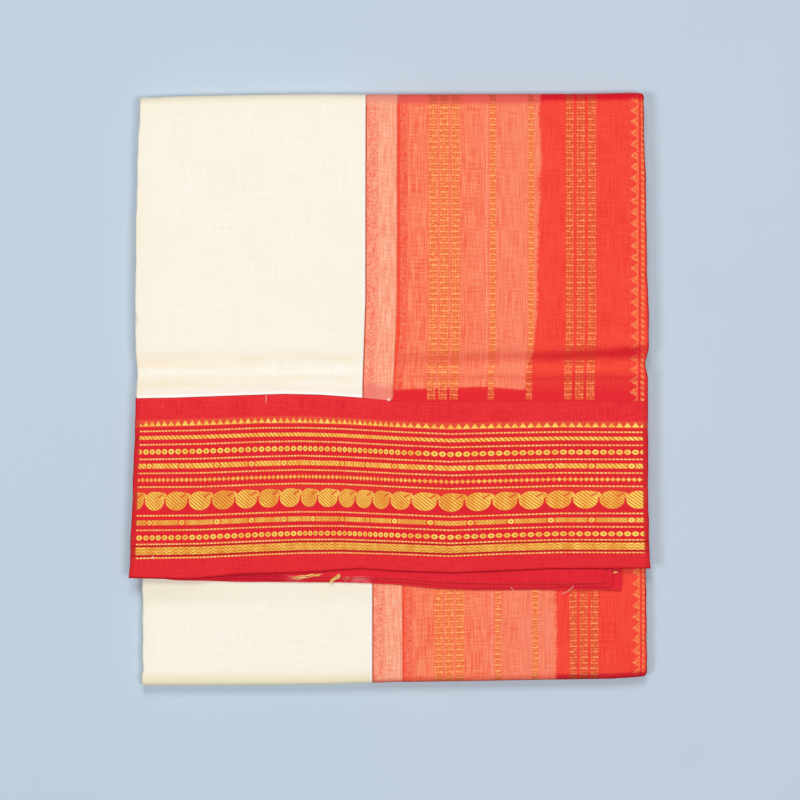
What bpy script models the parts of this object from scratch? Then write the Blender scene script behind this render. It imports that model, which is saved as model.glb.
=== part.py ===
"""A saree folded for storage, lying flat: about 0.36 m by 0.41 m and 16 mm high.

The cloth is folded lengthwise into a stack of plies, then in three like a letter: the
back third lies on the surface, the lower third folds up over it, and the flap folds down
over both and ends in the border. The outermost wall follows the whole letter fold, so it
shows on top, underneath and round both folds. The layers inside it share one solid.

X runs along the saree's length, Y across its width and Z up from the surface.
The tables and sizes are in millimetres and the finished meshes in metres.
"""

import bpy
import numpy as np

MM = 0.001

# Layers: each wall stands for several sheets of thin cloth
WALL = 1.0
GAP = 0.3
PITCH = WALL + GAP
PLIES = 4
LEAF = PLIES * PITCH - GAP
LOWER_TOP = 2 * LEAF + GAP
FLAP_TOP = 3 * LEAF + 2 * GAP
TOP_RADIUS = FLAP_TOP / 2
BOTTOM_RADIUS = LOWER_TOP / 2

# The outer wall turns in round the ply below it at both side folds
CORNER = 1.65
TURN = PITCH + WALL
CORNER_ANGLES = np.radians((0.0, 30.0, 60.0, 90.0))

# Rounded ply edges of the hidden layers
NOSE = 0.5
NOSE_RISE = 0.3
NOTCH = 1.0
COVERED = WALL + GAP
FOLD_INSET = 1.8
FOLD_DEPTH = TURN + PITCH

# Cloth near the folds and at the hidden step, where the loose selvedge plies begin
STEP_Y = -100.0
TOP_ANGLES = np.radians(np.linspace(0.0, 180.0, 10))
CORE_ANGLES = np.radians((20.0, 40.0, 60.0))

# Height of the middle above the sides
PILLOW = 0.7
HALF_WIDTH = 180.0
HALF_DEPTH = 205.0

# Side folds of each third: y, x on the left, x on the right
FLAP_SIDES = np.array((
    (205.0, -174.4, 176.2),
    (196.0, -173.4, 176.0),
    (175.0, -175.0, 176.3),
    (130.0, -175.7, 177.6),
    (88.0, -175.9, 178.4),
    (61.0, -176.3, 179.4),
    (42.0, -176.2, 179.8),
    (25.0, -175.9, 179.0),
    (16.0, -175.5, 177.7),
    (7.0, -175.1, 178.8),
    (-10.0, -176.7, 178.7),
    (-43.0, -177.9, 178.8),
    (-84.0, -179.4, 179.2),
    (-119.0, -180.6, 180.1),
    (-132.0, -180.6, 180.2),
))
LOWER_SIDES = np.array((
    (-100.0, -172.0, 178.0),
    (-161.0, -171.9, 178.2),
    (-185.0, -171.7, 178.8),
    (-200.0, -172.4, 177.6),
))

# Lines that run across the cloth: x, y
TOP_EDGE = np.array((
    (-175.0, 201.1), (-150.0, 202.3), (-90.0, 203.4), (-17.0, 204.4),
    (60.0, 204.6), (132.0, 204.9), (168.0, 205.7), (176.0, 205.1),
))
BOTTOM_EDGE = np.array((
    (-172.0, -205.4), (-90.0, -204.8), (-17.0, -204.2), (55.0, -204.0),
    (111.0, -203.1), (153.0, -202.5), (170.0, -201.3), (177.0, -200.5),
))
BORDER_JOIN = np.array((
    (-176.0, -7.1), (-148.0, -6.6), (-98.0, -4.8), (-73.0, -4.0), (-48.0, -4.6),
    (-23.0, -6.4), (1.0, -8.7), (28.0, -9.3), (178.0, -9.0),
))
SELVEDGE = np.array((
    (-181.0, -131.3), (-137.0, -132.3), (-100.0, -128.6), (-60.0, -127.8),
    (-21.0, -125.0), (7.0, -126.8), (44.0, -128.0), (80.0, -126.4),
    (112.0, -125.0), (180.0, -124.7),
))

# Free edges of the plies below the border, first ply uppermost: x, y of each ply's edge.
# Each ends in a corner on the right, past which its edge stays under the border.
PLY_EDGES = (
    np.array((
        (-181.0, -128.0), (-150.0, -129.4), (-75.0, -130.0), (-14.0, -131.0),
        (7.0, -132.0), (32.0, -134.2), (56.0, -135.3), (148.6, -135.0),
        (149.2, -119.0), (181.0, -118.0),
    )),
    np.array((
        (-181.0, -128.6), (-150.0, -130.8), (-75.0, -132.2), (-14.0, -133.1),
        (7.0, -134.2), (32.0, -136.4), (56.0, -137.8), (153.5, -137.6),
        (154.1, -118.0), (181.0, -117.0),
    )),
    np.array((
        (-181.0, -129.2), (-150.0, -132.9), (-75.0, -134.4), (-14.0, -135.1),
        (7.0, -136.3), (32.0, -138.5), (56.0, -140.0), (160.2, -140.0),
        (160.8, -117.0), (181.0, -116.0),
    )),
)

# Seams on each side of the woven join: y, x of the cream side, x of the pallu side
FLAP_SEAMS = np.array(((205.0, -16.6, 5.5), (60.0, -16.8, 5.3), (0.0, -18.8, 2.2)))
LOWER_SEAMS = np.array(((-100.0, -12.1, 8.6), (-205.0, -12.1, 8.6)))

# Places along X where the cloth may bend, on each side of the join
BODY_STATIONS = (-150.0, -120.0, -90.0, -62.0, -38.0)
PALLU_STATIONS = (32.0, 62.0, 92.0, 122.0, 150.0)

# Rows of the flap between its top fold and the border, as shares of that stretch
FLAP_SHARES = (0.0, 0.12, 0.26, 0.4, 0.54, 0.67, 0.78, 0.84, 0.88, 0.92, 0.96, 1.0)
BORDER_SHARES = (0.0, 0.12, 0.34, 0.67, 1.0)
END_SHARES = (0.0, 0.5, 1.0)
LOWER_SHARES = (0.0, 0.35, 0.7, 1.0)
BACK_SHARES = (0.0, 0.33, 0.67, 1.0)

# Ply edges that lie further in than their side fold: third, place in it, left, right
PLY_INSETS = (
    ("back", 1, COVERED, COVERED),
    ("back", 2, 0.3, 0.9),
    ("back", 3, 1.0, 0.4),
    ("lower", 3, 0.2, 1.4),
    ("lower", 2, 0.8, 0.1),
    ("lower", 1, COVERED, COVERED),
    ("lower", 0, 0.1, 0.6),
    ("flap", 3, 1.4, 0.3),
    ("flap", 2, 0.2, 1.1),
    ("flap", 1, COVERED, COVERED),
)
LOW_PLIES = PLY_INSETS[:6]

# Creases and ridges of the flap: y on the left, y on the right, reach, depth (ridge < 0)
CREASES = (
    (19.0, 16.5, 6.0, 0.9),
    (66.0, 52.0, 16.0, 0.3),
    (4.0, 3.0, 5.0, -0.25),
    (-46.0, -52.0, 20.0, 0.3),
    (-92.0, -84.0, 22.0, -0.25),
)

# Linear colours
CREAM = (0.90, 0.86, 0.75, 1.0)
CORAL = (0.92, 0.33, 0.20, 1.0)
RED = (0.86, 0.08, 0.05, 1.0)
CRIMSON = (0.75, 0.03, 0.04, 1.0)
MIXED = (0.80, 0.42, 0.33, 1.0)


def clear_scene():
    """Removes what the new scene came with."""
    for item in list(bpy.data.objects):
        bpy.data.objects.remove(item, do_unlink=True)


def line_through(table):
    """A line across the cloth, as a function of x."""
    return lambda x: np.interp(x, table[:, 0], table[:, 1])


top_edge = line_through(TOP_EDGE)
bottom_edge = line_through(BOTTOM_EDGE)
border_join = line_through(BORDER_JOIN)
selvedge = line_through(SELVEDGE)


def top_fold_line(x):
    """Where the flap leaves its flat run for the top fold."""
    return top_edge(x) - TOP_RADIUS


def bottom_fold_line(x):
    """Where the lower third leaves its flat run for the bottom fold."""
    return bottom_edge(x) + BOTTOM_RADIUS


def step_line(x):
    """The straight hidden line where the loose plies begin."""
    return np.full_like(np.asarray(x, dtype=float), STEP_Y)


def table_at(table, y):
    """The two x values of a side or seam table at one y."""
    order = np.argsort(table[:, 0])
    rows = table[order]
    return np.interp(y, rows[:, 0], rows[:, 1]), np.interp(y, rows[:, 0], rows[:, 2])


def back_table(flap_table, lower_table):
    """The back third runs straight from the flap's top end to the lower third's end."""
    top = table_at(flap_table, HALF_DEPTH - TOP_RADIUS)
    bottom = table_at(lower_table, BOTTOM_RADIUS - HALF_DEPTH)
    return np.array(((HALF_DEPTH, *top), (-HALF_DEPTH, *bottom)))


SIDES = {
    "flap": FLAP_SIDES,
    "lower": LOWER_SIDES,
    "back": back_table(FLAP_SIDES, LOWER_SIDES),
}
SEAMS = {
    "flap": FLAP_SEAMS,
    "lower": LOWER_SEAMS,
    "back": back_table(FLAP_SEAMS, LOWER_SEAMS),
}


def swell(x, y):
    """Height scale at a place: a low pillow, less the creases. It lifts all layers alike."""
    crown = PILLOW * (1 - (x / HALF_WIDTH) ** 2) * (1 - (y / HALF_DEPTH) ** 2)
    height = FLAP_TOP + np.maximum(crown, 0.0)
    for left_y, right_y, reach, depth in CREASES:
        middle = left_y + (right_y - left_y) * (x + HALF_WIDTH) / (2 * HALF_WIDTH)
        height = height - depth * np.exp(-(((y - middle) / reach) ** 2))
    return height / FLAP_TOP


def flat_row(third, line):
    """A row of the cloth where it lies flat: the line it follows and its height by depth."""
    def place(x, depth):
        level = {"flap": FLAP_TOP - depth, "lower": LOWER_TOP - depth, "back": depth}
        return line(x), level[third]
    return third, line(0.0), place


def top_fold_row(angle):
    """A row of the top fold, at an angle from the flap's level."""
    def place(x, depth):
        radius = TOP_RADIUS - depth
        return top_fold_line(x) + radius * np.sin(angle), TOP_RADIUS + radius * np.cos(angle)
    return "flap", HALF_DEPTH, place


def bottom_fold_row(angle):
    """A row of the bottom fold, at an angle from the lower third's level."""
    def place(x, depth):
        radius = BOTTOM_RADIUS - depth
        y = bottom_fold_line(x) - radius * np.sin(angle)
        return y, BOTTOM_RADIUS + radius * np.cos(angle)
    return "lower", -HALF_DEPTH, place


def between(first, last, share, shift=0.0):
    """A line that lies a share of the way from one line to another."""
    return lambda x: first(x) + (last(x) - first(x)) * share + shift


def flat_rows(third, first, last, shares, first_shift=0.0, last_shift=0.0):
    """Flat rows between two lines, the end rows shifted to leave a seam."""
    rows = []
    for share in shares:
        shift = first_shift * (share == shares[0]) + last_shift * (share == shares[-1])
        rows.append(flat_row(third, between(first, last, share, shift)))
    return rows


def turned_edge(edge, side):
    """Section of a side fold, as x and depth of its outer and inner face, from below up.

    side is -1 on the left and 1 on the right."""
    inner_radius = CORNER - WALL
    outer_x = edge - side * CORNER * (1 - np.cos(CORNER_ANGLES))
    outer_depth = CORNER * (1 - np.sin(CORNER_ANGLES))
    inner_x = edge - side * (CORNER - inner_radius * np.cos(CORNER_ANGLES))
    inner_depth = CORNER - inner_radius * np.sin(CORNER_ANGLES)
    outer = (np.append(edge, outer_x), np.append(TURN, outer_depth))
    inner = (np.append(edge - side * WALL, inner_x), np.append(TURN, inner_depth))
    return outer, inner


def sheet_section(left, right, stations, turned_left, turned_right):
    """Outer and inner section of the outermost wall between two edges."""
    outer_x = [np.array(stations)]
    outer_depth = [np.zeros(len(stations))]
    inner_x = [np.array(stations)]
    inner_depth = [np.full(len(stations), WALL)]
    for edge, side, turned in ((left, -1, turned_left), (right, 1, turned_right)):
        if turned:
            outer, inner = turned_edge(edge, side)
        else:
            outer = (np.array([edge]), np.array([0.0]))
            inner = (np.array([edge]), np.array([WALL]))
        at = 0 if side < 0 else len(outer_x)
        step = 1 if side < 0 else -1
        outer_x.insert(at, outer[0][::step])
        outer_depth.insert(at, outer[1][::step])
        inner_x.insert(at, inner[0][::step])
        inner_depth.insert(at, inner[1][::step])
    joined = [np.concatenate(part) for part in (outer_x, outer_depth, inner_x, inner_depth)]
    return (joined[0], joined[1]), (joined[2], joined[3])


def points_of(row, section):
    """Places one section of a row in space, in metres."""
    x, depth = section
    y, z = row[2](x, depth)
    y = np.broadcast_to(y, x.shape)
    z = np.broadcast_to(z, x.shape)
    return np.stack((x, y, z * swell(x, y)), axis=1) * MM


def grid_faces(rows, columns, start=0):
    """Quads of a grid of points, row after row."""
    faces = []
    for row in range(rows - 1):
        for column in range(columns - 1):
            corner = start + row * columns + column
            faces.append((corner, corner + 1, corner + columns + 1, corner + columns))
    return faces


def wall_between(outer, inner):
    """Vertices and faces of the closed wall between two grids of the same size."""
    rows, columns, _ = outer.shape
    count = rows * columns
    faces = grid_faces(rows, columns)
    faces += [tuple(reversed(face)) for face in grid_faces(rows, columns, count)]
    rim = [row * columns for row in range(rows)]
    rim += [(rows - 1) * columns + column for column in range(1, columns)]
    rim += [row * columns + columns - 1 for row in range(rows - 2, -1, -1)]
    rim += list(range(columns - 2, 0, -1))
    for here, there in zip(rim, rim[1:] + rim[:1]):
        faces.append((here, there, there + count, here + count))
    return np.concatenate((outer.reshape(-1, 3), inner.reshape(-1, 3))), faces


def add_piece(name, vertices, faces, colour, roughness):
    """Adds one named solid with its own material, its faces pointing out."""
    mesh = bpy.data.meshes.new(name)
    mesh.from_pydata(np.asarray(vertices).tolist(), [], faces)
    mesh.update()
    material = bpy.data.materials.new(name)
    material.use_nodes = True
    shader = material.node_tree.nodes["Principled BSDF"]
    shader.inputs["Base Color"].default_value = colour
    shader.inputs["Roughness"].default_value = roughness
    shader.inputs["Metallic"].default_value = 0.0
    mesh.materials.append(material)
    if signed_volume(mesh) < 0:
        mesh.flip_normals()
    piece = bpy.data.objects.new(name, mesh)
    bpy.context.scene.collection.objects.link(piece)
    return piece


def signed_volume(mesh):
    """Volume inside the faces, negative where they point in."""
    mesh.calc_loop_triangles()
    corners = np.array([vertex.co for vertex in mesh.vertices])
    triangles = np.array([list(triangle.vertices) for triangle in mesh.loop_triangles])
    a, b, c = (corners[triangles[:, k]] for k in range(3))
    return float(np.einsum("ij,ij->i", a, np.cross(b, c)).sum() / 6)


def stretch_edges(row, stretch):
    """Left and right x of a stretch at a row, and whether each is a side fold."""
    left, right = table_at(SIDES[row[0]], row[1])
    cream, pallu = table_at(SEAMS[row[0]], row[1])
    if stretch == "body":
        return left, cream - GAP / 2, True, False
    if stretch == "join":
        return cream + GAP / 2, pallu - GAP / 2, False, False
    if stretch == "pallu":
        return pallu + GAP / 2, right, False, True
    return left, right, True, True


def stretch_stations(row, stretch):
    """Places between the edges where a stretch may bend."""
    cream, pallu = table_at(SEAMS[row[0]], row[1])
    middle = (cream + pallu) / 2
    stations = {
        "body": BODY_STATIONS,
        "join": (middle,),
        "pallu": PALLU_STATIONS,
        "whole": (*BODY_STATIONS, cream, middle, pallu, *PALLU_STATIONS),
    }
    return stations[stretch]


def outer_stretch(name, rows, stretch, colour, roughness):
    """One stretch of the outermost wall."""
    outer, inner = [], []
    for row in rows:
        left, right, turned_left, turned_right = stretch_edges(row, stretch)
        stations = stretch_stations(row, stretch)
        sections = sheet_section(left, right, stations, turned_left, turned_right)
        outer.append(points_of(row, sections[0]))
        inner.append(points_of(row, sections[1]))
    vertices, faces = wall_between(np.array(outer), np.array(inner))
    return add_piece(name, vertices, faces, colour, roughness)


def flap_pieces():
    """The flap from the border's join up over the top fold, and its border."""
    rows = flat_rows("flap", border_join, top_fold_line,
                     [1 - share for share in reversed(FLAP_SHARES)], first_shift=GAP / 2)
    rows += [top_fold_row(angle) for angle in TOP_ANGLES[1:]]
    outer_stretch("flap_body", rows, "body", CREAM, 0.75)
    outer_stretch("flap_join", rows, "join", CORAL, 0.7)
    outer_stretch("flap_pallu", rows, "pallu", RED, 0.6)
    border = flat_rows("flap", border_join, step_line, BORDER_SHARES, first_shift=-GAP / 2)
    border += flat_rows("flap", step_line, selvedge, END_SHARES)[1:]
    outer_stretch("flap_border", border, "whole", CRIMSON, 0.5)


def lower_pieces():
    """The lower third from its hidden end down round the bottom fold."""
    rows = flat_rows("lower", step_line, bottom_fold_line, LOWER_SHARES, first_shift=-GAP)
    rows += [bottom_fold_row(angle) for angle in TOP_ANGLES[1:]]
    outer_stretch("lower_body", rows, "body", CREAM, 0.75)
    outer_stretch("lower_join", rows, "join", CORAL, 0.7)
    outer_stretch("lower_pallu", rows, "pallu", RED, 0.6)


def back_pieces():
    """The flat underside, between the two folds."""
    rows = flat_rows("back", top_fold_line, bottom_fold_line, BACK_SHARES, -GAP, GAP)
    outer_stretch("back_body", rows, "body", CREAM, 0.75)
    outer_stretch("back_join", rows, "join", CORAL, 0.7)
    outer_stretch("back_pallu", rows, "pallu", RED, 0.6)


def selvedge_ply(number):
    """One loose ply below the border, from the hidden step to its own free edge."""
    edge_table = PLY_EDGES[number - 1]
    free_edge = line_through(edge_table)
    third, _, left_inset, right_inset = [
        entry for entry in PLY_INSETS if entry[:2] == ("flap", number)][0]
    corners = edge_table[-3:-1, 0]
    rows = flat_rows("flap", step_line, free_edge, END_SHARES, first_shift=-GAP)
    grids = []
    for depth in (number * PITCH, number * PITCH + WALL):
        grid = []
        for row in rows:
            left, right = table_at(SIDES[third], row[1])
            stations = [*stretch_stations(row, "whole"), *corners]
            ends = (left + left_inset + NOSE, right - right_inset - NOSE)
            x = np.array((ends[0], *sorted(stations), ends[1]))
            grid.append(points_of(row, (x, np.full(len(x), depth))))
        grids.append(np.array(grid))
    vertices, faces = wall_between(*grids)
    return add_piece(f"selvedge_ply_{number}", vertices, faces, CRIMSON, 0.5)


def ply_bottom(third, place):
    """Height of the lower face of a hidden ply."""
    if third == "back":
        return place * PITCH
    top = LOWER_TOP if third == "lower" else FLAP_TOP
    return top - place * PITCH - WALL


def side_profile(plies, y, side):
    """x and z up one side of the hidden layers: a blunt nose a ply, a notch between."""
    points = []
    for third, place, left_inset, right_inset in plies:
        edges = table_at(SIDES[third], y)
        edge = edges[0] + left_inset if side < 0 else edges[1] - right_inset
        bottom = ply_bottom(third, place)
        if not points:
            points.append((edge - side * NOSE, bottom))
        else:
            points.append((edge - side * NOTCH, bottom - GAP / 2))
        points.append((edge, bottom + NOSE_RISE))
        points.append((edge, bottom + WALL - NOSE_RISE))
    points.append((edge - side * NOSE, bottom + WALL))
    return np.array(points)


def core_section(plies, y):
    """Closed section of the hidden layers: along the bottom, up the right side, back
    along the top and down the left side. Also gives how many points each run has."""
    cream, pallu = table_at(SEAMS["flap"], y)
    stations = np.array(
        (*BODY_STATIONS, cream, (cream + pallu) / 2, pallu, *PALLU_STATIONS))
    left = side_profile(plies, y, -1)
    right = side_profile(plies, y, 1)
    bottom = np.stack((stations, np.full(len(stations), left[0, 1])), axis=1)
    top = np.stack((stations[::-1], np.full(len(stations), left[-1, 1])), axis=1)
    return np.concatenate((bottom, right, top, left[::-1])), len(stations), len(left)


def core_row(plies, line, y):
    """Points of the hidden layers along a flat row."""
    section, stations, sides = core_section(plies, y)
    x, z = section.T
    across = line(x)
    return np.stack((x, across, z * swell(x, across)), axis=1) * MM, stations, sides


def core_fold_row(plies, fold_line, outer_radius, angle, direction):
    """Points of the hidden layers in a fold: the section flattens as it runs out, and its
    sides draw in from the turned edge of the outer wall."""
    side_y = direction * (HALF_DEPTH - outer_radius)
    section, _, _ = core_section(plies, side_y)
    x, z = section.T
    reach = (outer_radius - PITCH) * np.sin(angle)
    height = (z - outer_radius) * np.cos(angle)
    depth = outer_radius - np.hypot(reach, height)
    left, right = table_at(SIDES[plies[-1][0]], side_y)
    near = depth < FOLD_DEPTH
    x = np.where(near, np.clip(x, left + FOLD_INSET, right - FOLD_INSET), x)
    y = fold_line(x) + direction * reach
    return np.stack((x, y, (height + outer_radius) * swell(x, y)), axis=1) * MM


def loop_faces(first, second, count):
    """Quads between two closed rings of points."""
    faces = []
    for place in range(count):
        after = (place + 1) % count
        faces.append((first + place, first + after, second + after, second + place))
    return faces


def ring_parts(start, stations, sides):
    """The four runs of a ring of the hidden layers, as lists of vertex numbers."""
    bottom = list(range(start, start + stations))
    right = list(range(bottom[-1] + 1, bottom[-1] + 1 + sides))
    top = list(range(right[-1] + 1, right[-1] + 1 + stations))
    left = list(range(top[-1] + 1, top[-1] + 1 + sides))
    return bottom, right, top, left


def end_cap(start, stations, sides):
    """Closes one end of the hidden layers with quads across and one face at each side."""
    bottom, right, top, left = ring_parts(start, stations, sides)
    top = top[::-1]
    faces = [(bottom[k], bottom[k + 1], top[k + 1], top[k]) for k in range(stations - 1)]
    faces.append((bottom[-1], *right, top[-1]))
    faces.append((top[0], *left, bottom[0]))
    return faces


def step_face(low, high, stations, low_sides, high_sides):
    """The upright face where the pile steps up, above the lower third's last ply."""
    _, low_right, low_top, low_left = ring_parts(low, stations, low_sides)
    high_bottom, high_right, high_top, high_left = ring_parts(high, stations, high_sides)
    shared = low_sides - 1
    faces = []
    for k in range(stations - 1):
        faces.append((low_top[k], low_top[k + 1], high_top[k + 1], high_top[k]))
    faces.append((low_top[0], high_top[0], *reversed(high_right[shared:]),
                  low_right[shared - 1], low_right[-1]))
    faces.append((high_top[-1], low_top[-1], low_left[0], low_left[1],
                  *reversed(high_left[:high_sides - shared])))
    return faces


def hidden_layers():
    """All layers inside the outer wall, as one solid with a rounded edge for each ply."""
    low_rows, high_rows = [], []
    for angle in CORE_ANGLES[::-1]:
        low_rows.append(core_fold_row(LOW_PLIES, bottom_fold_line, BOTTOM_RADIUS, angle, -1))
    for share in reversed(LOWER_SHARES):
        line = between(step_line, bottom_fold_line, share)
        row, stations, low_sides = core_row(LOW_PLIES, line, line(0.0))
        low_rows.append(row)
    shares = [(border_join, step_line, share) for share in reversed(BORDER_SHARES)]
    shares += [(top_fold_line, border_join, share) for share in reversed(FLAP_SHARES[:-1])]
    for first, last, share in shares:
        line = between(first, last, share)
        row, stations, high_sides = core_row(PLY_INSETS, line, line(0.0))
        high_rows.append(row)
    for angle in CORE_ANGLES:
        high_rows.append(core_fold_row(PLY_INSETS, top_fold_line, TOP_RADIUS, angle, 1))

    low_count = len(low_rows[0])
    high_count = len(high_rows[0])
    high_start = low_count * len(low_rows)
    faces = [tuple(reversed(face)) for face in end_cap(0, stations, low_sides)]
    for row in range(len(low_rows) - 1):
        faces += loop_faces(row * low_count, (row + 1) * low_count, low_count)
    last_low = (len(low_rows) - 1) * low_count
    faces += step_face(last_low, high_start, stations, low_sides, high_sides)
    for row in range(len(high_rows) - 1):
        start = high_start + row * high_count
        faces += loop_faces(start, start + high_count, high_count)
    faces += end_cap(high_start + (len(high_rows) - 1) * high_count, stations, high_sides)

    vertices = np.concatenate((*low_rows, *high_rows))
    weld = {}
    low_ring = ring_parts(last_low, stations, low_sides)
    high_ring = ring_parts(high_start, stations, high_sides)
    shared = low_sides - 1
    for low, high in zip(low_ring[0] + low_ring[1][:shared] + low_ring[3][1:],
                         high_ring[0] + high_ring[1][:shared] + high_ring[3][-shared:]):
        weld[high] = low
    faces = [tuple(weld.get(corner, corner) for corner in face) for face in faces]
    vertices, faces = drop_unused(vertices, faces)
    return add_piece("hidden_layers", vertices, faces, MIXED, 0.8)


def drop_unused(vertices, faces):
    """Leaves out points that no face uses."""
    used = sorted({corner for face in faces for corner in face})
    place = {corner: number for number, corner in enumerate(used)}
    return vertices[used], [tuple(place[corner] for corner in face) for face in faces]


def centre_on_origin():
    """Moves all meshes alike, so that the middle of the whole box's underside is the origin."""
    pieces = [item for item in bpy.data.objects if item.type == "MESH"]
    corners = np.array([vertex.co for item in pieces for vertex in item.data.vertices])
    middle = (corners.min(axis=0) + corners.max(axis=0)) / 2
    for item in pieces:
        for vertex in item.data.vertices:
            vertex.co.x -= middle[0]
            vertex.co.y -= middle[1]


clear_scene()
hidden_layers()
flap_pieces()
lower_pieces()
back_pieces()
for ply in (1, 2, 3):
    selvedge_ply(ply)
centre_on_origin()
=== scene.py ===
"""A folded handloom saree, lying flat and seen from straight above: cream cotton, a coral
and red end piece with lines of gold thread, and a wide crimson silk border woven in gold.

Tables and sizes are in millimetres, and meshes are put down in metres."""

import bmesh
import bpy
import numpy as np
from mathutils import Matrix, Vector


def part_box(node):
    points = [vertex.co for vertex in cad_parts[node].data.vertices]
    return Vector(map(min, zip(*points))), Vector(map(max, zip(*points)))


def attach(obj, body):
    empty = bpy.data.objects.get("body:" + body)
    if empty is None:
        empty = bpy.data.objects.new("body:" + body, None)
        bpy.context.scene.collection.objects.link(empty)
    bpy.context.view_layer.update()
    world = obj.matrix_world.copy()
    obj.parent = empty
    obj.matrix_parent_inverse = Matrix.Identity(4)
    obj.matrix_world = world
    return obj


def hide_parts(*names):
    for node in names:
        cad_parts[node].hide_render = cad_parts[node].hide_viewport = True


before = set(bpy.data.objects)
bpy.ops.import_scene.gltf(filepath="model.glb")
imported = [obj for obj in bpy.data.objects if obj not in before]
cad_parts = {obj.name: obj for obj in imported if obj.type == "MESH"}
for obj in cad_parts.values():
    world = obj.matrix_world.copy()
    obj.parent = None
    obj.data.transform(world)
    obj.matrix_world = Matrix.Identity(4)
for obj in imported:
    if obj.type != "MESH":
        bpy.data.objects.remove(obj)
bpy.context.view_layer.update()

MM = 0.001

# Viewpoint and light. The pack is seen from straight above, framed as in the photograph,
# whose 800 pixels span 552 mm at the cloth's top. Soft lamps stand beyond the top fold and
# to the left and right, in a pale studio.

FLAP_LEFT_EDGE = -180.6
LOWER_FRONT_EDGE = -205.32
CENTRE_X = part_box("flap_border")[0].x / MM - FLAP_LEFT_EDGE
CENTRE_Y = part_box("lower_body")[0].y / MM - LOWER_FRONT_EDGE

VIEW_X = 6.9
VIEW_Y = -8.3
VIEW_HEIGHT = 1600.0
VIEW_LEVEL = 15.5
VIEW_SPAN = 552.0
SENSOR = 36.0


def add_camera():
    """Camera straight above, its lens from the span it has to take in."""
    data = bpy.data.cameras.new("camera")
    data.sensor_width = SENSOR
    data.lens = SENSOR * (VIEW_HEIGHT - VIEW_LEVEL) / VIEW_SPAN
    data.clip_start = 0.05
    data.clip_end = 10.0
    camera = bpy.data.objects.new("camera", data)
    camera.location = ((VIEW_X + CENTRE_X) * MM, (VIEW_Y + CENTRE_Y) * MM, VIEW_HEIGHT * MM)
    bpy.context.scene.collection.objects.link(camera)
    bpy.context.scene.camera = camera


def add_lamp(name, place, size, power, colour):
    """Square area lamp that faces the pack's middle."""
    data = bpy.data.lights.new(name, "AREA")
    data.shape = "SQUARE"
    data.size = size
    data.energy = power
    data.color = colour
    lamp = bpy.data.objects.new(name, data)
    lamp.location = place
    direction = -lamp.location.normalized()
    lamp.rotation_mode = "QUATERNION"
    lamp.rotation_quaternion = direction.to_track_quat("-Z", "Y")
    bpy.context.scene.collection.objects.link(lamp)


add_camera()
add_lamp("key_lamp", (-0.1, 2.37, 3.0), 1.45, 59.7, (1.0, 0.99, 0.98))
add_lamp("left_lamp", (-1.3, -0.35, 2.1), 0.8, 19.6, (1.0, 1.0, 1.0))
add_lamp("right_lamp", (0.8, -0.35, 2.35), 0.8, 22.4, (1.0, 1.0, 1.0))
world = bpy.data.worlds.new("studio")
world.use_nodes = True
world.node_tree.nodes["Background"].inputs["Color"].default_value = (0.985, 0.99, 1.0, 1.0)
world.node_tree.nodes["Background"].inputs["Strength"].default_value = 0.11
bpy.context.scene.world = world
bpy.context.scene.view_settings.view_transform = "Standard"


# Floor. A flat, matt, pale blue-grey board of all but even colour, on which the pack lies. It
# belongs to the studio and isn't part of the saree.


def dye(red, green, blue):
    """A colour given as display values from 0 to 255, as linear values with full alpha."""
    values = np.array((red, green, blue)) / 255
    curved = ((values + 0.055) / 1.055) ** 2.4
    return (*np.where(values <= 0.04045, values / 12.92, curved).tolist(), 1.0)


class Field:
    """A number or colour that varies over a surface: one socket of a finish's nodes.
    Arithmetic on it adds Math nodes."""

    def __init__(self, finish, socket):
        self.finish = finish
        self.socket = socket

    def math(self, operation, *terms, clamp=False):
        settings = {"operation": operation, "use_clamp": clamp}
        return self.finish.node("ShaderNodeMath", settings, dict(enumerate(terms)))

    def __add__(self, other):
        return self.math("ADD", self, other)

    __radd__ = __add__

    def __sub__(self, other):
        return self.math("SUBTRACT", self, other)

    def __rsub__(self, other):
        return self.math("SUBTRACT", other, self)

    def __mul__(self, other):
        return self.math("MULTIPLY", self, other)

    __rmul__ = __mul__

    def __truediv__(self, other):
        return self.math("DIVIDE", self, other)

    def __abs__(self):
        return self.math("ABSOLUTE", self)

    def fraction(self):
        """The part after the decimal point, from 0 to 1."""
        return self.math("FRACT", self)

    def floor(self):
        """The whole number below."""
        return self.math("FLOOR", self)

    def cell(self, width):
        """The place within each whole unit, from its middle, if the unit is this wide."""
        return (self.fraction() - 0.5) * width

    def ramp(self):
        """A zigzag: 1 at whole numbers and 0 halfway between them."""
        return abs(self.cell(2))

    def stripe(self, low, high, soft):
        """1 between two places of every whole unit and 0 outside them, with soft sides."""
        return self.fraction().within(low, high, soft)

    def wave(self, length):
        """A sine from -1 to 1 of this wavelength."""
        return self.math("SINE", self * (2 * np.pi / length))

    def least(self, other):
        """The smaller of the two at each place."""
        return self.math("MINIMUM", self, other)

    def most(self, other):
        """The larger of the two at each place."""
        return self.math("MAXIMUM", self, other)

    def above(self, place, soft):
        """1 above a place and 0 below it, over a soft step."""
        return self.math("MULTIPLY_ADD", self, 1 / soft, 0.5 - place / soft, clamp=True)

    def below(self, place, soft):
        """1 below a place and 0 above it, over a soft step."""
        return self.math("MULTIPLY_ADD", self, -1 / soft, 0.5 + place / soft, clamp=True)

    def within(self, low, high, soft):
        """1 between two places and 0 outside them, with soft sides."""
        return abs(self - (low + high) / 2).below((high - low) / 2, soft)

    def dyed(self, *layers):
        """This colour with others laid over it: the share, red, green and blue of each."""
        tone = self
        for share, *colour in layers:
            tone = self.finish.mix(share, tone, dye(*colour))
        return tone


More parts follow.
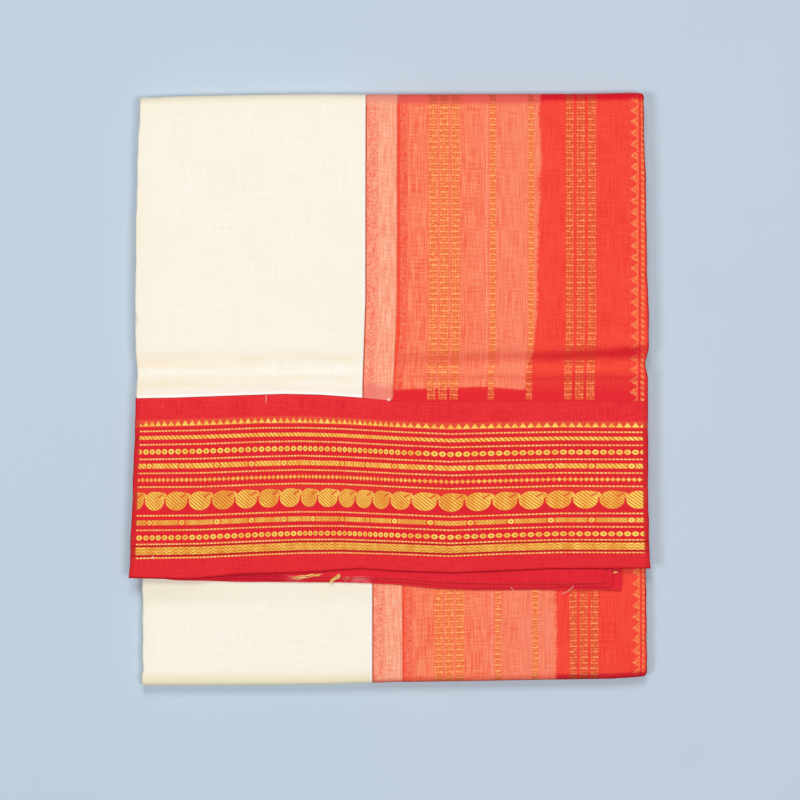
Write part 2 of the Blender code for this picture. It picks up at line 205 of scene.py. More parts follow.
class Finish:
    """One material: a Principled shader, and the nodes that drive it."""

    def __init__(self, name, **constants):
        self.material = bpy.data.materials.new(name)
        self.material.use_nodes = True
        self.tree = self.material.node_tree
        self.shader = self.tree.nodes["Principled BSDF"]
        for socket, value in constants.items():
            self.shader.inputs[socket.replace("_", " ")].default_value = value

    def node(self, kind, settings, sockets=None, output=0):
        """Adds a node: its settings first, then the values or links of its sockets."""
        made = self.tree.nodes.new(kind)
        for name, value in settings.items():
            setattr(made, name, value)
        for socket, value in (sockets or {}).items():
            if isinstance(value, Field):
                self.tree.links.new(value.socket, made.inputs[socket])
            else:
                made.inputs[socket].default_value = value
        return Field(self, made.outputs[output])

    def drive(self, **fields):
        """Links fields to the shader's sockets."""
        for socket, field in fields.items():
            self.tree.links.new(field.socket, self.shader.inputs[socket.replace("_", " ")])

    def place(self, name):
        """The two coordinates of one of the piece's own UV maps."""
        both = self.node("ShaderNodeUVMap", {"uv_map": name})
        return [self.node("ShaderNodeSeparateXYZ", {}, {0: both}, output=axis)
                for axis in (0, 1)]

    def mark(self, name):
        """A number stored on the piece's points."""
        return self.node("ShaderNodeAttribute", {"attribute_name": name}, output=2)

    def mix(self, share, first, second):
        """The first colour where the share is 0, the second where it is 1."""
        return self.node("ShaderNodeMix", {"data_type": "RGBA"},
                         {0: share, 6: first, 7: second}, output=2)

    def grain(self, u, v, across, along, start=0.0, detail=2.0):
        """Noise from 0 to 1 whose spots are this long across and along the cloth."""
        spot = self.node("ShaderNodeCombineXYZ", {},
                         {0: u / across + start, 1: v / along + start})
        return self.node("ShaderNodeTexNoise", {"noise_dimensions": "2D"},
                         {"Vector": spot, "Scale": 1.0, "Detail": detail})

    def raise_by(self, height, depth):
        """Bump from a height field, its full height given in millimetres."""
        self.drive(Normal=self.node("ShaderNodeBump", {},
                                    {"Strength": 1.0, "Distance": depth * MM, "Height": height}))


def floor_finish():
    """Pale blue-grey, a little bluer on the left, with clouds only just lighter and darker."""
    board = Finish("floor", Roughness=0.9)
    spot = board.node("ShaderNodeTexCoord", {}, output=3)
    cloud = board.node("ShaderNodeTexNoise", {}, {"Vector": spot, "Scale": 9.0, "Detail": 3.0})
    across = board.node("ShaderNodeSeparateXYZ", {}, {0: spot})
    tone = board.mix(cloud, dye(191, 206, 221), dye(197, 211, 224))
    tone = tone.dyed((across.below(-0.1, 0.3) * 0.6, 188, 206, 221))
    board.drive(Base_Color=tone)
    return board.material


def add_floor():
    """One square of 3 m."""
    mesh = bpy.data.meshes.new("floor")
    half = 1.5
    corners = [(-half, -half, 0), (half, -half, 0), (half, half, 0), (-half, half, 0)]
    mesh.from_pydata(corners, [], [(0, 1, 2, 3)])
    mesh.materials.append(floor_finish())
    floor = bpy.data.objects.new("floor", mesh)
    bpy.context.scene.collection.objects.link(floor)


add_floor()


# The cream field. Fine plain-woven cotton, ironed and folded lengthwise into plies, then in
# three like a letter. This is the outermost ply: it runs from the border's join up the flap,
# round the top fold, under the pack, round the bottom fold and up beneath the flap.

LOWER_TOP = 10.1
FLAP_TOP = 15.3
TOP_RADIUS = FLAP_TOP / 2
BOTTOM_RADIUS = LOWER_TOP / 2
HALF_WIDTH = 180.0
HALF_DEPTH = 205.0
PILLOW = 0.7
SHEET = 0.35
BOTTOM_FULLNESS = 0.62
TUCK_END = 190.0
STEP_Y = -100.0
STATION_LENGTH = 205.0
FAR_FROM_FOLD = 100.0
STRIP_TUCK = 1.2

# Side folds of each third: y, x on the left, x on the right
FLAP_SIDES = np.array((
    (205.0, -173.6, 175.6), (196.0, -172.5, 175.4), (175.0, -174.2, 175.7),
    (130.0, -175.3, 177.0), (88.0, -175.7, 177.7), (61.0, -176.1, 178.5),
    (42.0, -176.3, 178.9), (27.0, -175.9, 178.9), (18.0, -175.2, 176.6),
    (15.0, -174.9, 176.5), (7.0, -174.6, 178.3), (-10.0, -175.6, 178.5),
    (-43.0, -177.1, 178.3), (-84.0, -178.4, 178.6), (-119.0, -179.8, 179.8),
    (-126.0, -181.0, 180.0), (-132.0, -182.0, 180.0),
))
LOWER_SIDES = np.array((
    (195.0, -172.2, 176.0), (0.0, -172.0, 176.7), (-100.0, -171.7, 177.5),
    (-161.0, -171.6, 177.7), (-185.0, -171.4, 178.2), (-193.5, -171.3, 178.2),
    (-197.0, -172.3, 178.4), (-203.0, -172.2, 177.8),
))
BACK_SIDES = np.array(((200.0, -173.4, 175.6), (-200.0, -172.0, 177.4)))

# Lines that run across the cloth: x, y
TOP_EDGE = np.array((
    (-175.0, 200.9), (-150.0, 202.2), (-90.0, 203.4), (-45.0, 203.8), (-17.0, 203.5),
    (60.0, 203.7), (132.0, 203.9), (168.0, 204.6), (176.0, 204.3),
))
BOTTOM_EDGE = np.array((
    (-172.0, -206.7), (-90.0, -206.4), (-45.0, -206.0), (-17.0, -205.0), (0.0, -204.2),
    (55.0, -203.5), (111.0, -202.5), (153.0, -201.9), (170.0, -200.8), (177.0, -200.0),
))
BORDER_JOIN = np.array((
    (-176.0, -7.1), (-148.0, -6.6), (-98.0, -4.8), (-73.0, -4.0), (-48.0, -4.6),
    (-23.0, -6.4), (1.0, -8.7), (28.0, -9.3), (178.0, -9.0),
))
SELVEDGE = np.array((
    (-181.0, -131.3), (-137.0, -132.3), (-100.0, -128.6), (-60.0, -127.8),
    (-21.0, -125.0), (7.0, -126.8), (44.0, -128.0), (80.0, -126.4),
    (112.0, -125.0), (180.0, -124.7),
))

# Where the cream ends and where the end piece begins: y, x, x, on the flap and below it
FLAP_SEAMS = np.array(((205.0, -16.6, 5.5), (60.0, -16.8, 5.3), (0.0, -18.8, 2.2)))
LOWER_SEAMS = np.array(((-100.0, -12.1, 8.6), (-205.0, -12.1, 8.6)))

# Creases of the whole leaf: y on the left, y on the right, reach, depth (ridge < 0)
LEAF_CREASES = (
    (18.0, 18.5, 6.0, 1.0),
    (66.0, 52.0, 16.0, 0.3),
    (4.0, 3.0, 5.0, -0.25),
    (-46.0, -52.0, 20.0, 0.3),
    (-92.0, -84.0, 22.0, -0.25),
)

# Soft wrinkles on what faces up: x, y of both ends, reach, height (trough < 0)
TOP_WRINKLES = (
    (-176, 21, -40, 24, 2.6, -0.22), (-120, 12, -18, 8, 2.2, 0.16), (-60, 4, 60, 5, 2.0, -0.14),
    (-176, 30, -90, 33, 3.5, 0.14), (20, 21, 178, 20, 2.4, -0.3), (40, 13, 178, 11, 2.2, 0.25),
    (90, 26, 178, 29, 3.0, 0.16), (-52, 168, -50, 92, 3.0, -0.1), (-46, 150, -45, 60, 2.4, 0.07),
    (-120, 190, -112, 90, 5.0, 0.08), (-90, 120, -84, 30, 4.0, -0.07), (-150, 80, -20, 66, 7, 0.1),
    (-160, 130, -40, 141, 8.0, -0.08), (30, 186, 33, 110, 4.0, 0.08), (84, 160, 82, 60, 3.0, -0.1),
    (110, 120, 112, 30, 3.5, 0.12), (150, 190, 153, 90, 4.0, -0.1), (62, 90, 140, 84, 6.0, 0.1),
    (-62.1, -20, -62.1, -128, 0.9, -0.3), (-59.8, -24, -59.6, -128, 1.6, 0.16),
    (-66, -40, -66, -126, 3.0, 0.14), (-130, -60, -128, -126, 5.0, -0.1),
    (20, -30, 22, -125, 4.0, 0.1), (60, -90, 170, -86, 4.0, -0.1), (140, -20, 143, -110, 5, -0.1),
    (-160, -112, -60, -114, 5.0, 0.12), (-30, -118, 80, -120, 4.0, -0.12),
)
LOW_WRINKLES = (
    (-160, -150, -40, -146, 7.0, 0.1), (-120, -180, -20, -184, 6.0, -0.1),
    (-90, -140, -86, -196, 4.0, 0.08), (40, -150, 44, -198, 3.0, -0.1),
    (80, -160, 160, -166, 6.0, 0.1), (140, -140, 143, -196, 4.0, -0.1),
    (20, -142, 120, -144, 3.0, 0.1), (-40, -196, 150, -194, 3.0, -0.12),
    (-171.8, -194.0, -168.4, -201.5, 0.8, -0.3),
)
BACK_WRINKLES = (
    (-150, 120, 60, 128, 9.0, -0.25), (-60, 40, 165, 22, 7.0, -0.22), (-168, -40, 30, -60, 8.0, -0.2),
    (-20, -120, 150, -132, 9.0, -0.25), (-100, 180, -96, 40, 6.0, -0.18), (70, 60, 74, -90, 6, -0.2),
)


# Painted shade where a crease or fold shades the cloth and painted light where a ridge catches
# it: x, y of both ends, half width, strength at each (paler < 0)
CREASE_SHADING_BANDS = (
    (-190, 20.6, -80, 20.4, 3.2, 0.7, 0.35), (-110, 20.4, -16, 20.6, 3.4, 0.35, 0.8),
    (-190, 15.8, -80, 15.0, 2.7, 1.2, 0.25), (-190, 6.6, -16, 6.8, 2.2, 0.5, 0.6),
    (-190, 2.2, -56, 2.2, 2.3, 1.25, 0.1), (-110, 11.0, -18, 11.4, 1.8, -0.2, -0.5),
    (-178, 10.8, -110, 10.8, 1.5, -0.4, -0.2), (0, 19.6, 182, 24.2, 4.0, 0.55, 1.15),
    (150, 27.5, 186, 28.5, 2.0, 0.0, 1.2), (6, 12.6, 182, 13.4, 2.2, -0.2, -0.5),
    (6, 7.8, 182, 6.6, 1.6, 0.5, 0.6), (100, 33.0, 182, 37.0, 3.5, 0.0, -0.4),
    (-60, 13.0, -18, 13.6, 1.2, 0.1, -0.4),
)


def crease_shading(x, y):
    """Sum of the painted crease shading bands: each is its strength times exp(-(distance / width)^2).
    """
    total = np.zeros(x.shape)
    for x0, y0, x1, y1, width, first, last in CREASE_SHADING_BANDS:
        share = (x - x0) / (x1 - x0)
        middle = y0 + (y1 - y0) * share + 0.5 * np.sin(x / 11.0 + y0)
        fade = np.clip((0.5 - np.abs(share - 0.5)) * (x1 - x0) / 12, 0, 1)
        strength = (first + (last - first) * np.clip(share, 0, 1)) * fade
        total += strength * np.exp(-(((y - middle) / width) ** 2))
    return total


def line_through(table):
    """A line across the cloth, as a function of x."""
    return lambda x: np.interp(x, table[:, 0], table[:, 1])


def across_at(table, y, column):
    """One of the two x values of a side or seam table at some y."""
    rows = table[np.argsort(table[:, 0])]
    return np.interp(y, rows[:, 0], rows[:, column])


top_edge = line_through(TOP_EDGE)
bottom_edge = line_through(BOTTOM_EDGE)
border_join = line_through(BORDER_JOIN)
selvedge = line_through(SELVEDGE)


def swell(x, y):
    """Height scale at a place: a low pillow (1 - x^2)(1 - y^2), less the leaf's creases."""
    crown = PILLOW * (1 - (x / HALF_WIDTH) ** 2) * (1 - (y / HALF_DEPTH) ** 2)
    height = FLAP_TOP + np.maximum(crown, 0.0)
    for left_y, right_y, reach, depth in LEAF_CREASES:
        middle = left_y + (right_y - left_y) * (x + HALF_WIDTH) / (2 * HALF_WIDTH)
        height = height - depth * np.exp(-(((y - middle) / reach) ** 2))
    return height / FLAP_TOP


def wrinkled(x, y, wrinkles):
    """Sum of soft ridges and troughs: each is its height times exp(-(distance / reach)^2)
    across its line, and fades towards its ends as a smooth bump."""
    total = np.zeros(np.broadcast(x, y).shape)
    for x0, y0, x1, y1, reach, height in wrinkles:
        length = np.hypot(x1 - x0, y1 - y0)
        along = ((x - x0) * (x1 - x0) + (y - y0) * (y1 - y0)) / length
        off = ((x - x0) * (y1 - y0) - (y - y0) * (x1 - x0)) / length
        bow = 0.25 * reach * np.sin(along / (6.0 + reach))
        fade = np.clip(1.15 - np.abs(2 * along / length - 1) ** 3, 0, 1) ** 2
        fade = np.where((along > -reach) & (along < length + reach), fade, 0)
        total += height * fade * np.exp(-(((off + bow) / reach) ** 2))
    return total


def letter(x, station, depth):
    """Carries points along the letter fold. The station runs from the selvedge (0) to the
    border's join (1), the top fold (2 to 3), the bottom fold (4 to 5), the hidden step (6)
    and the tucked end (7); depth is measured in from the outer face. In a fold,
    y = line + (radius - depth) sin(angle) and z = radius + (radius - depth) cos(angle);
    the bottom fold is fuller, with the sine to a power below 1."""
    top = top_edge(x) - TOP_RADIUS
    bottom = bottom_edge(x) + BOTTOM_RADIUS
    share = np.clip(station - np.floor(station), 0, 1)
    down = np.pi * np.clip(station - 2, 0, 1)
    up = np.pi * (1 - np.clip(station - 4, 0, 1))
    places = (
        (station < 1, selvedge(x) + (border_join(x) - selvedge(x)) * share, FLAP_TOP - depth),
        (station < 2, border_join(x) + (top - border_join(x)) * share, FLAP_TOP - depth),
        (station < 3, top + (TOP_RADIUS - depth) * np.sin(down),
         TOP_RADIUS + (TOP_RADIUS - depth) * np.cos(down)),
        (station < 4, top + (bottom - top) * share, depth),
        (station < 5, bottom - (BOTTOM_RADIUS - depth) * np.maximum(np.sin(up), 0) ** BOTTOM_FULLNESS,
         BOTTOM_RADIUS + (BOTTOM_RADIUS - depth) * np.cos(up)),
        (station < 6, bottom + (STEP_Y - bottom) * share, LOWER_TOP - depth),
        (station < 8, STEP_Y + (TUCK_END - STEP_Y) * share, LOWER_TOP - depth),
    )
    tests, ys, zs = zip(*places)
    return np.select(tests, ys), np.select(tests, zs)


def row_y(station):
    """y of the leaf's rows in the middle of the pack."""
    level = np.zeros_like(station)
    return letter(level, station, level)[0]


def side_at(station, column):
    """Side fold of the leaf at each station: column 1 is the left, 2 the right."""
    y = row_y(station)
    flap = across_at(FLAP_SIDES, y, column)
    back = across_at(BACK_SIDES, y, column)
    lower = across_at(LOWER_SIDES, y, column)
    round_top = np.clip(station - 2, 0, 1)
    round_bottom = np.clip(station - 4, 0, 1)
    edge = flap + (back - flap) * round_top
    return edge + (lower - edge) * round_bottom


def seam_at(station, column):
    """The woven seams at each station: column 1 ends the cream, 2 begins the end piece."""
    y = row_y(station)
    flap = across_at(FLAP_SEAMS, y, column)
    lower = across_at(LOWER_SEAMS, y, column)
    return flap + (lower - flap) * np.clip((station - 3) / 1.5, 0, 1)


# Rows of the outermost ply, as stations: closer together where the cloth shows
FLAP_ROWS = np.concatenate(((1.0, 1.001), np.linspace(1.0, 2.0, 122)[1:-1]))
TOP_ROWS = np.linspace(2.0, 3.0, 14)[:-1]
BACK_ROWS = np.linspace(3.0, 4.0, 54)[:-1]
BOTTOM_ROWS = np.linspace(4.0, 5.0, 12)[:-1]
LOWER_ROWS = np.linspace(5.0, 6.0, 58)[:-1]
TUCKED_ROWS = np.linspace(6.0, 6.999, 22)
LEAF_ROWS = np.concatenate((FLAP_ROWS, TOP_ROWS, BACK_ROWS, BOTTOM_ROWS, LOWER_ROWS, TUCKED_ROWS))

# A side fold seen end on: how far in from the edge, and how deep, from below up
TURN_ANGLES = np.radians((-90, -60, -30, 0, 18, 36, 54, 72, 90))
UNDER_RADIUS = 0.8
OVER_RADIUS = 1.5
TURN_IN = np.concatenate((
    (6.0, 3.0),
    np.where(TURN_ANGLES < 0, UNDER_RADIUS, OVER_RADIUS) * (1 - np.cos(TURN_ANGLES)),
))
TURN_DOWN = OVER_RADIUS - np.concatenate((
    (-UNDER_RADIUS, -UNDER_RADIUS),
    np.where(TURN_ANGLES < 0, UNDER_RADIUS, OVER_RADIUS) * np.sin(TURN_ANGLES),
))


def fold_wobble(station, start):
    """Small unevenness of a side fold along the leaf: three sines of unlike lengths."""
    along = station * STATION_LENGTH
    return (0.16 * np.sin(along / 7.3 + start) + 0.12 * np.sin(along / 17.0 + 2.1 * start)
            + 0.1 * np.sin(along / 3.1 + 1.7 * start) - 0.15)


def leaf_grid(stations, left, right, columns, turned_left=False, turned_right=False):
    """Grid over a stretch of the leaf: x and depth of every point, row by row. Between its
    two edges it is flat, and a turned edge goes on round the side fold."""
    inner_left = left + TURN_IN[-1] * turned_left
    inner_right = right - TURN_IN[-1] * turned_right
    x = inner_left[:, None] + (inner_right - inner_left)[:, None] * np.linspace(0, 1, columns)
    depth = np.zeros_like(x)
    turn = np.broadcast_to(TURN_DOWN[:-1], (len(stations), len(TURN_DOWN) - 1))
    if turned_left:
        edge = left - fold_wobble(stations, 1.0)
        x = np.concatenate((edge[:, None] + TURN_IN[:-1], x), axis=1)
        depth = np.concatenate((turn, depth), axis=1)
    if turned_right:
        edge = right + fold_wobble(stations, 2.6)
        x = np.concatenate((x, edge[:, None] - TURN_IN[-2::-1]), axis=1)
        depth = np.concatenate((depth, turn[:, ::-1]), axis=1)
    return x, depth


def place_leaf(x, stations, depth):
    """Points of the leaf in millimetres, with the wrinkles of the side that they lie on."""
    station = stations[:, None]
    y, _ = letter(x, station, depth)
    upper = wrinkled(x, y, TOP_WRINKLES) * np.clip((2.1 - station) * 10, 0, 1)
    lower = wrinkled(x, y, LOW_WRINKLES) * np.clip((station - 4.9) * 10, 0, 1)
    under = wrinkled(x, y, BACK_WRINKLES) * ((station > 3) & (station < 4))
    y, z = letter(x, station, depth - upper - lower - under)
    return np.stack((x, y, z * swell(x, y)), axis=-1)


def path_lengths(points):
    """Distance along each column of a grid of points from its first row."""
    steps = np.linalg.norm(np.diff(points, axis=0), axis=2)
    return np.concatenate((np.zeros((1, points.shape[1])), np.cumsum(steps, axis=0)))


def grid_faces(rows, columns, start=0):
    """Quads of a grid of points, row after row, numbered from its first point on."""
    corner = start + (np.arange(rows - 1)[:, None] * columns + np.arange(columns - 1)).ravel()
    quads = np.stack((corner, corner + 1, corner + columns + 1, corner + columns), axis=1)
    return quads.tolist()


def add_piece(name, points, faces, material, maps, marks):
    """Adds a mesh from points in millimetres, with its UV maps and its stored numbers."""
    mesh = bpy.data.meshes.new(name)
    shifted = (points.reshape(-1, 3) + (CENTRE_X, CENTRE_Y, 0.0)) * MM
    mesh.from_pydata(shifted.tolist(), [], faces)
    mesh.update()
    corners = np.zeros(len(mesh.loops), np.int32)
    mesh.loops.foreach_get("vertex_index", corners)
    for label, (u, v) in maps.items():
        both = np.stack((u.ravel(), v.ravel()), axis=1)[corners]
        layer = mesh.uv_layers.new(name=label)
        layer.data.foreach_set("uv", both.astype(np.float32).ravel())
    for label, values in marks.items():
        stored = mesh.attributes.new(label, "FLOAT", "POINT")
        stored.data.foreach_set("value", values.astype(np.float32).ravel())
    mesh.shade_smooth()
    mesh.materials.append(material)
    piece = bpy.data.objects.new(name, mesh)
    bpy.context.scene.collection.objects.link(piece)
    return piece


def give_thickness(piece, thickness):
    """Cloth thickness, inward from the outer face."""
    wall = piece.modifiers.new("thickness", "SOLIDIFY")
    wall.thickness = thickness * MM
    wall.offset = -1.0
    wall.use_even_offset = False


def facing_up(stations):
    """1 on the two thirds that face up and their folds, and 0 on the back one."""
    return np.clip((2.4 - stations) * 5, 0, 1) + np.clip((stations - 4.6) * 5, 0, 1)


def leaf_marks(points, along):
    """Numbers stored on every piece of the leaf: how far a point lies from the top fold's
    edge, from the bottom fold's and from the border's join, and the creases' painted shade and light."""
    x, y = points[..., 0], points[..., 1]
    station = LEAF_ROWS[:, None]
    return {
        "head": np.where(station < 3, top_edge(x) - y, FAR_FROM_FOLD),
        "foot": np.where(station >= 4, y - bottom_edge(x), FAR_FROM_FOLD),
        "end": along,
        "crease_shading": crease_shading(x, y) * (station < 2.05),
    }


def yarns(u, v, pitch):
    """Height of a plain weave: threads that go over and under each other, from 0 to 1."""
    return u.wave(2 * pitch) * v.wave(2 * pitch) * 0.5 + 0.5


def cream_cotton():
    """Ivory cotton: faint slubs along both threads, slow clouds, and a thread weave."""
    cloth = Finish("cream_cotton", Roughness=0.85, Specular_IOR_Level=0.1)
    u, v = cloth.place("cloth")
    head, foot, end, seam = map(cloth.mark, ("head", "foot", "end", "seam"))
    crease_shade_and_light = cloth.mark("crease_shading")
    cloud = cloth.grain(u, v, 55.0, 45.0, start=5.0)
    bend = (cloud - 0.5) * 9.0
    warp = cloth.grain(u + bend, v, 1.1, 34.0)
    weft = cloth.grain(u, v + bend, 26.0, 1.0, start=17.0)
    slub = (warp + weft) * 0.5
    fluff = cloth.grain(u, v, 2.2, 2.0, start=33.0)
    # Painted shadow on the lower third just below the flap's edge, stronger on the left.
    shaded = foot.within(58.0, 72.0, 8.0) * (u.below(-130.0, 60.0) * 0.6 + 0.3)
    tone = cloth.mix(slub.above(0.5, 0.35), dye(247, 240, 222), dye(253, 248, 237))
    tone = tone.dyed(
        (fluff.above(0.55, 0.3) * 0.3, 248, 240, 222),
        (cloud.above(0.56, 0.3) * 0.45, 249, 240, 221),
        (end.below(6.0, 5.0) * 0.6, 251, 235, 224),
        (end.below(1.9, 0.7) * 0.85, 255, 252, 247),
        # Painted shade in the creases and painted light on the ridges, painted shade by the left side
        # fold and round the top fold, the painted shadow below the flap's edge, painted shade round
        # the bottom fold and painted light on its last millimetre.
        (crease_shade_and_light * 0.8, 247, 231, 202),
        (crease_shade_and_light * -0.8, 255, 251, 243),
        (u.below(-166.0, 14.0) * 0.35, 247, 236, 212),
        (head.below(13.0, 16.0) * 0.4, 247, 237, 212),
        (head.below(4.9, 4.6) * 0.65, 243, 232, 207),
        (shaded, 236, 230, 206),
        (foot.below(7.6, 6.0) * 0.95, 240, 230, 198),
        (foot.below(1.0, 1.0) * 0.9, 255, 250, 232),
        (seam.within(0.5, 1.8, 0.5) * 0.7, 255, 253, 248),
        (seam.below(0.25, 0.2) * 0.9, 226, 96, 60),
    )
    cloth.drive(Base_Color=tone)
    cloth.raise_by(yarns(u, v, pitch=0.35) * 0.4 + slub, depth=0.1)
    return cloth.material


def edge_ridge(x, edge, reach, height):
    """A low rise beside a seam: height times exp(-((x - edge) / reach)^2)."""
    return height * np.exp(-(((x - edge[:, None]) / reach) ** 2))


def add_cream_field():
    """The cream stretch of the outermost ply, its right edge lying on the join strip."""
    left = side_at(LEAF_ROWS, 1)
    right = seam_at(LEAF_ROWS, 1)
    x, depth = leaf_grid(LEAF_ROWS, left, right, columns=76, turned_left=True)
    depth = depth - edge_ridge(x, right, reach=1.2, height=0.12) * facing_up(LEAF_ROWS)[:, None]
    points = place_leaf(x, LEAF_ROWS, depth)
    along = path_lengths(points)
    marks = leaf_marks(points, along)
    marks["seam"] = right[:, None] - x
    piece = add_piece("cream_field", points, grid_faces(*x.shape), cream_cotton(),
                      {"cloth": (x, along)}, marks)
    give_thickness(piece, SHEET)
    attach(piece, "root")
    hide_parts("flap_body", "back_body", "lower_body")


add_cream_field()


# The join strip. A narrow strip of sheer coral weave on which the end piece is joined to the
# cream: the cream's cut edge lies on it, and its trimmed thread ends show as a soft fringe.


def join_cloth():
    """Coral over cream: a brushed stretch of thread ends, then an open even weave."""
    cloth = Finish("join_cloth", Roughness=0.8, Specular_IOR_Level=0.1)
    u, v = cloth.place("cloth")
    head, foot, end, crease_shade_and_light = map(cloth.mark, ("head", "foot", "end", "crease_shading"))
    warp = cloth.grain(u, v, 1.0, 16.0)
    weft = cloth.grain(u, v, 9.0, 0.9, start=9.0)
    slub = warp * 0.6 + weft * 0.4
    curl = (cloth.grain(u, v, 4.5, 4.0, start=44.0) - 0.5) * 9.0
    brushed = cloth.grain(u, v + curl, 3.6, 0.9, start=3.0, detail=3.0)
    tone = cloth.mix(slub.above(0.5, 0.3), dye(247, 141, 106), dye(255, 186, 156))
    frayed = u.below(8.6, 1.8)
    tone = tone.dyed(
        (frayed * 0.5, 255, 166, 137),
        (frayed * brushed.above(0.53, 0.16) * 0.8, 243, 108, 85),
        (end.below(10.0, 5.0) * 0.7, 239, 118, 110),
        (u.below(0.8, 0.4) * 0.85, 206, 80, 48),
        (u.above(21.2, 1.0) * 0.8, 250, 92, 62),
        # Painted shade in the creases and painted light on the ridges, and painted shade round the
        # top and bottom folds.
        (crease_shade_and_light * 0.5, 236, 122, 92),
        (head.below(6.9, 3.4) * 0.8, 238, 147, 130),
        (foot.below(2.0, 3.0) * 0.7, 226, 96, 92),
    )
    cloth.drive(Base_Color=tone)
    cloth.raise_by(yarns(u, v, pitch=0.4) * 0.4 + slub + brushed * frayed, depth=0.12)
    return cloth.material


def add_join_strip():
    """The strip between the seams, tucked a little under the cream and lying over the end
    piece. Its free corner by the border is a little rounded."""
    left = seam_at(LEAF_ROWS, 1)
    corner = np.clip(1 - (LEAF_ROWS - 1) * STATION_LENGTH / 2.4, 0, 1)
    right = seam_at(LEAF_ROWS, 2) - 1.5 * corner ** 2
    x, depth = leaf_grid(LEAF_ROWS, left - STRIP_TUCK, right, columns=16)
    depth = depth + edge_ridge(x, left, reach=1.6, height=0.4)
    depth = depth - edge_ridge(x, right, reach=1.0, height=0.1) * facing_up(LEAF_ROWS)[:, None]
    points = place_leaf(x, LEAF_ROWS, depth)
    along = path_lengths(points)
    piece = add_piece("join_strip", points, grid_faces(*x.shape), join_cloth(),
                      {"cloth": (x - left[:, None], along)}, leaf_marks(points, along))
    give_thickness(piece, SHEET)
    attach(piece, "root")
    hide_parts("flap_join", "back_join", "lower_join")


add_join_strip()


# The end piece. Sheer red weave, coral where pale plies show through it, with lines of gold
# thread along the loom's width: three beaded lines, two single ones, three more, and a row
# of small temple points with a twisted line beside the side fold.

# The same woven lines as they lie on the flap, near the border, and below it: x of each
END_PIECE_LINES = np.array((
    (-16.6, -19.0, -12.1), (5.5, 2.1, 8.6), (26.6, 25.3, 30.4), (48.2, 46.8, 51.4),
    (68.5, 67.1, 72.4), (95.0, 93.6, 98.2), (120.9, 119.7, 123.8), (142.4, 141.2, 144.4),
    (165.6, 164.9, 167.5), (173.5, 173.2, 174.8), (179.4, 179.4, 178.6),
))

# Gold lines on the flap: left and right x of each
BEADED_LINES = (
    (26.9, 32.7), (34.3, 40.6), (42.4, 48.2), (68.8, 73.2), (95.2, 99.3),
    (121.3, 126.7), (128.7, 134.7), (136.5, 142.3),
)
TEMPLE_POINTS = (165.6, 171.4)
TEMPLE_PITCH = 7.8
TEMPLE_START = 2.4
TWISTED_LINE = (173.3, 175.6)
TWIST_PITCH = 3.93
BEAD_ROWS = 1.946
BEAD_COLUMNS = 3
END_PIECE_TUCK = 2.0
BEND_TOP = 42.0
BEND_LENGTH = 40.0

# How far the coral shows: y, x of its side edge on the flap, x of that edge below the
# border, and x, y of its lower edge
CORAL_REACH = np.array((
    (205.0, 104.4), (120.0, 102.8), (45.0, 100.6), (22.0, 98.6), (12.0, 95.6), (0.0, 95.0),
))
LOWER_CORAL = 112.0
CORAL_FOOT = np.array(((5.0, -1.4), (30.0, -0.4), (66.0, 0.7), (93.0, -1.4)))


def woven_x(x, y, station):
    """Where a point lies across the cloth, as x of the same threads high on the flap. Near
    the border the threads bend aside, over a smooth step 3 t^2 - 2 t^3."""
    flap, near, low = END_PIECE_LINES.T
    closer = np.interp(x, near, flap)
    lower = np.interp(x, low, flap)
    towards = np.clip((BEND_TOP - y) / BEND_LENGTH, 0, 1)
    towards = towards * towards * (3 - 2 * towards)
    on_flap = x + (closer - x) * towards
    return np.where(station < 2.5, on_flap, np.where(station < 3.5, x, lower))


def coral_mark(u, y, station):
    """Distance in millimetres inside the coral patch, negative outside it."""
    reach = np.interp(y, CORAL_REACH[::-1, 0], CORAL_REACH[::-1, 1])
    foot = np.interp(u, CORAL_FOOT[:, 0], CORAL_FOOT[:, 1])
    on_flap = np.minimum(reach - u, y - foot)
    return np.where(station < 2.5, on_flap, LOWER_CORAL - u)


def beaded_gold(cloth, u, v):
    """Mask of the beaded lines, and how bright their gold is at each place: a painted highlight on
    the beads' crowns, in every second row and in patches, and painted shade between them.
    """
    lines = [u.within(left, right, 0.5) for left, right in BEADED_LINES]
    beads = sum(line * ((u - left) * (BEAD_COLUMNS / (right - left)))
                for line, (left, right) in zip(lines, BEADED_LINES))
    uneven = cloth.grain(u, v, 9.0, 14.0, start=21.0)
    rows = v / BEAD_ROWS + uneven * 0.4
    round_row = 1 - rows.ramp()
    pair = (rows * 0.5).stripe(0.1, 0.5, 0.3)
    round_column = 1 - beads.ramp()
    patch = cloth.grain(u, v, 2.4, 1.8, start=31.0)
    bright = round_row * 0.5 + pair * 0.32 + round_column * 0.35 + patch * 1.3 - 0.88
    return sum(lines), bright


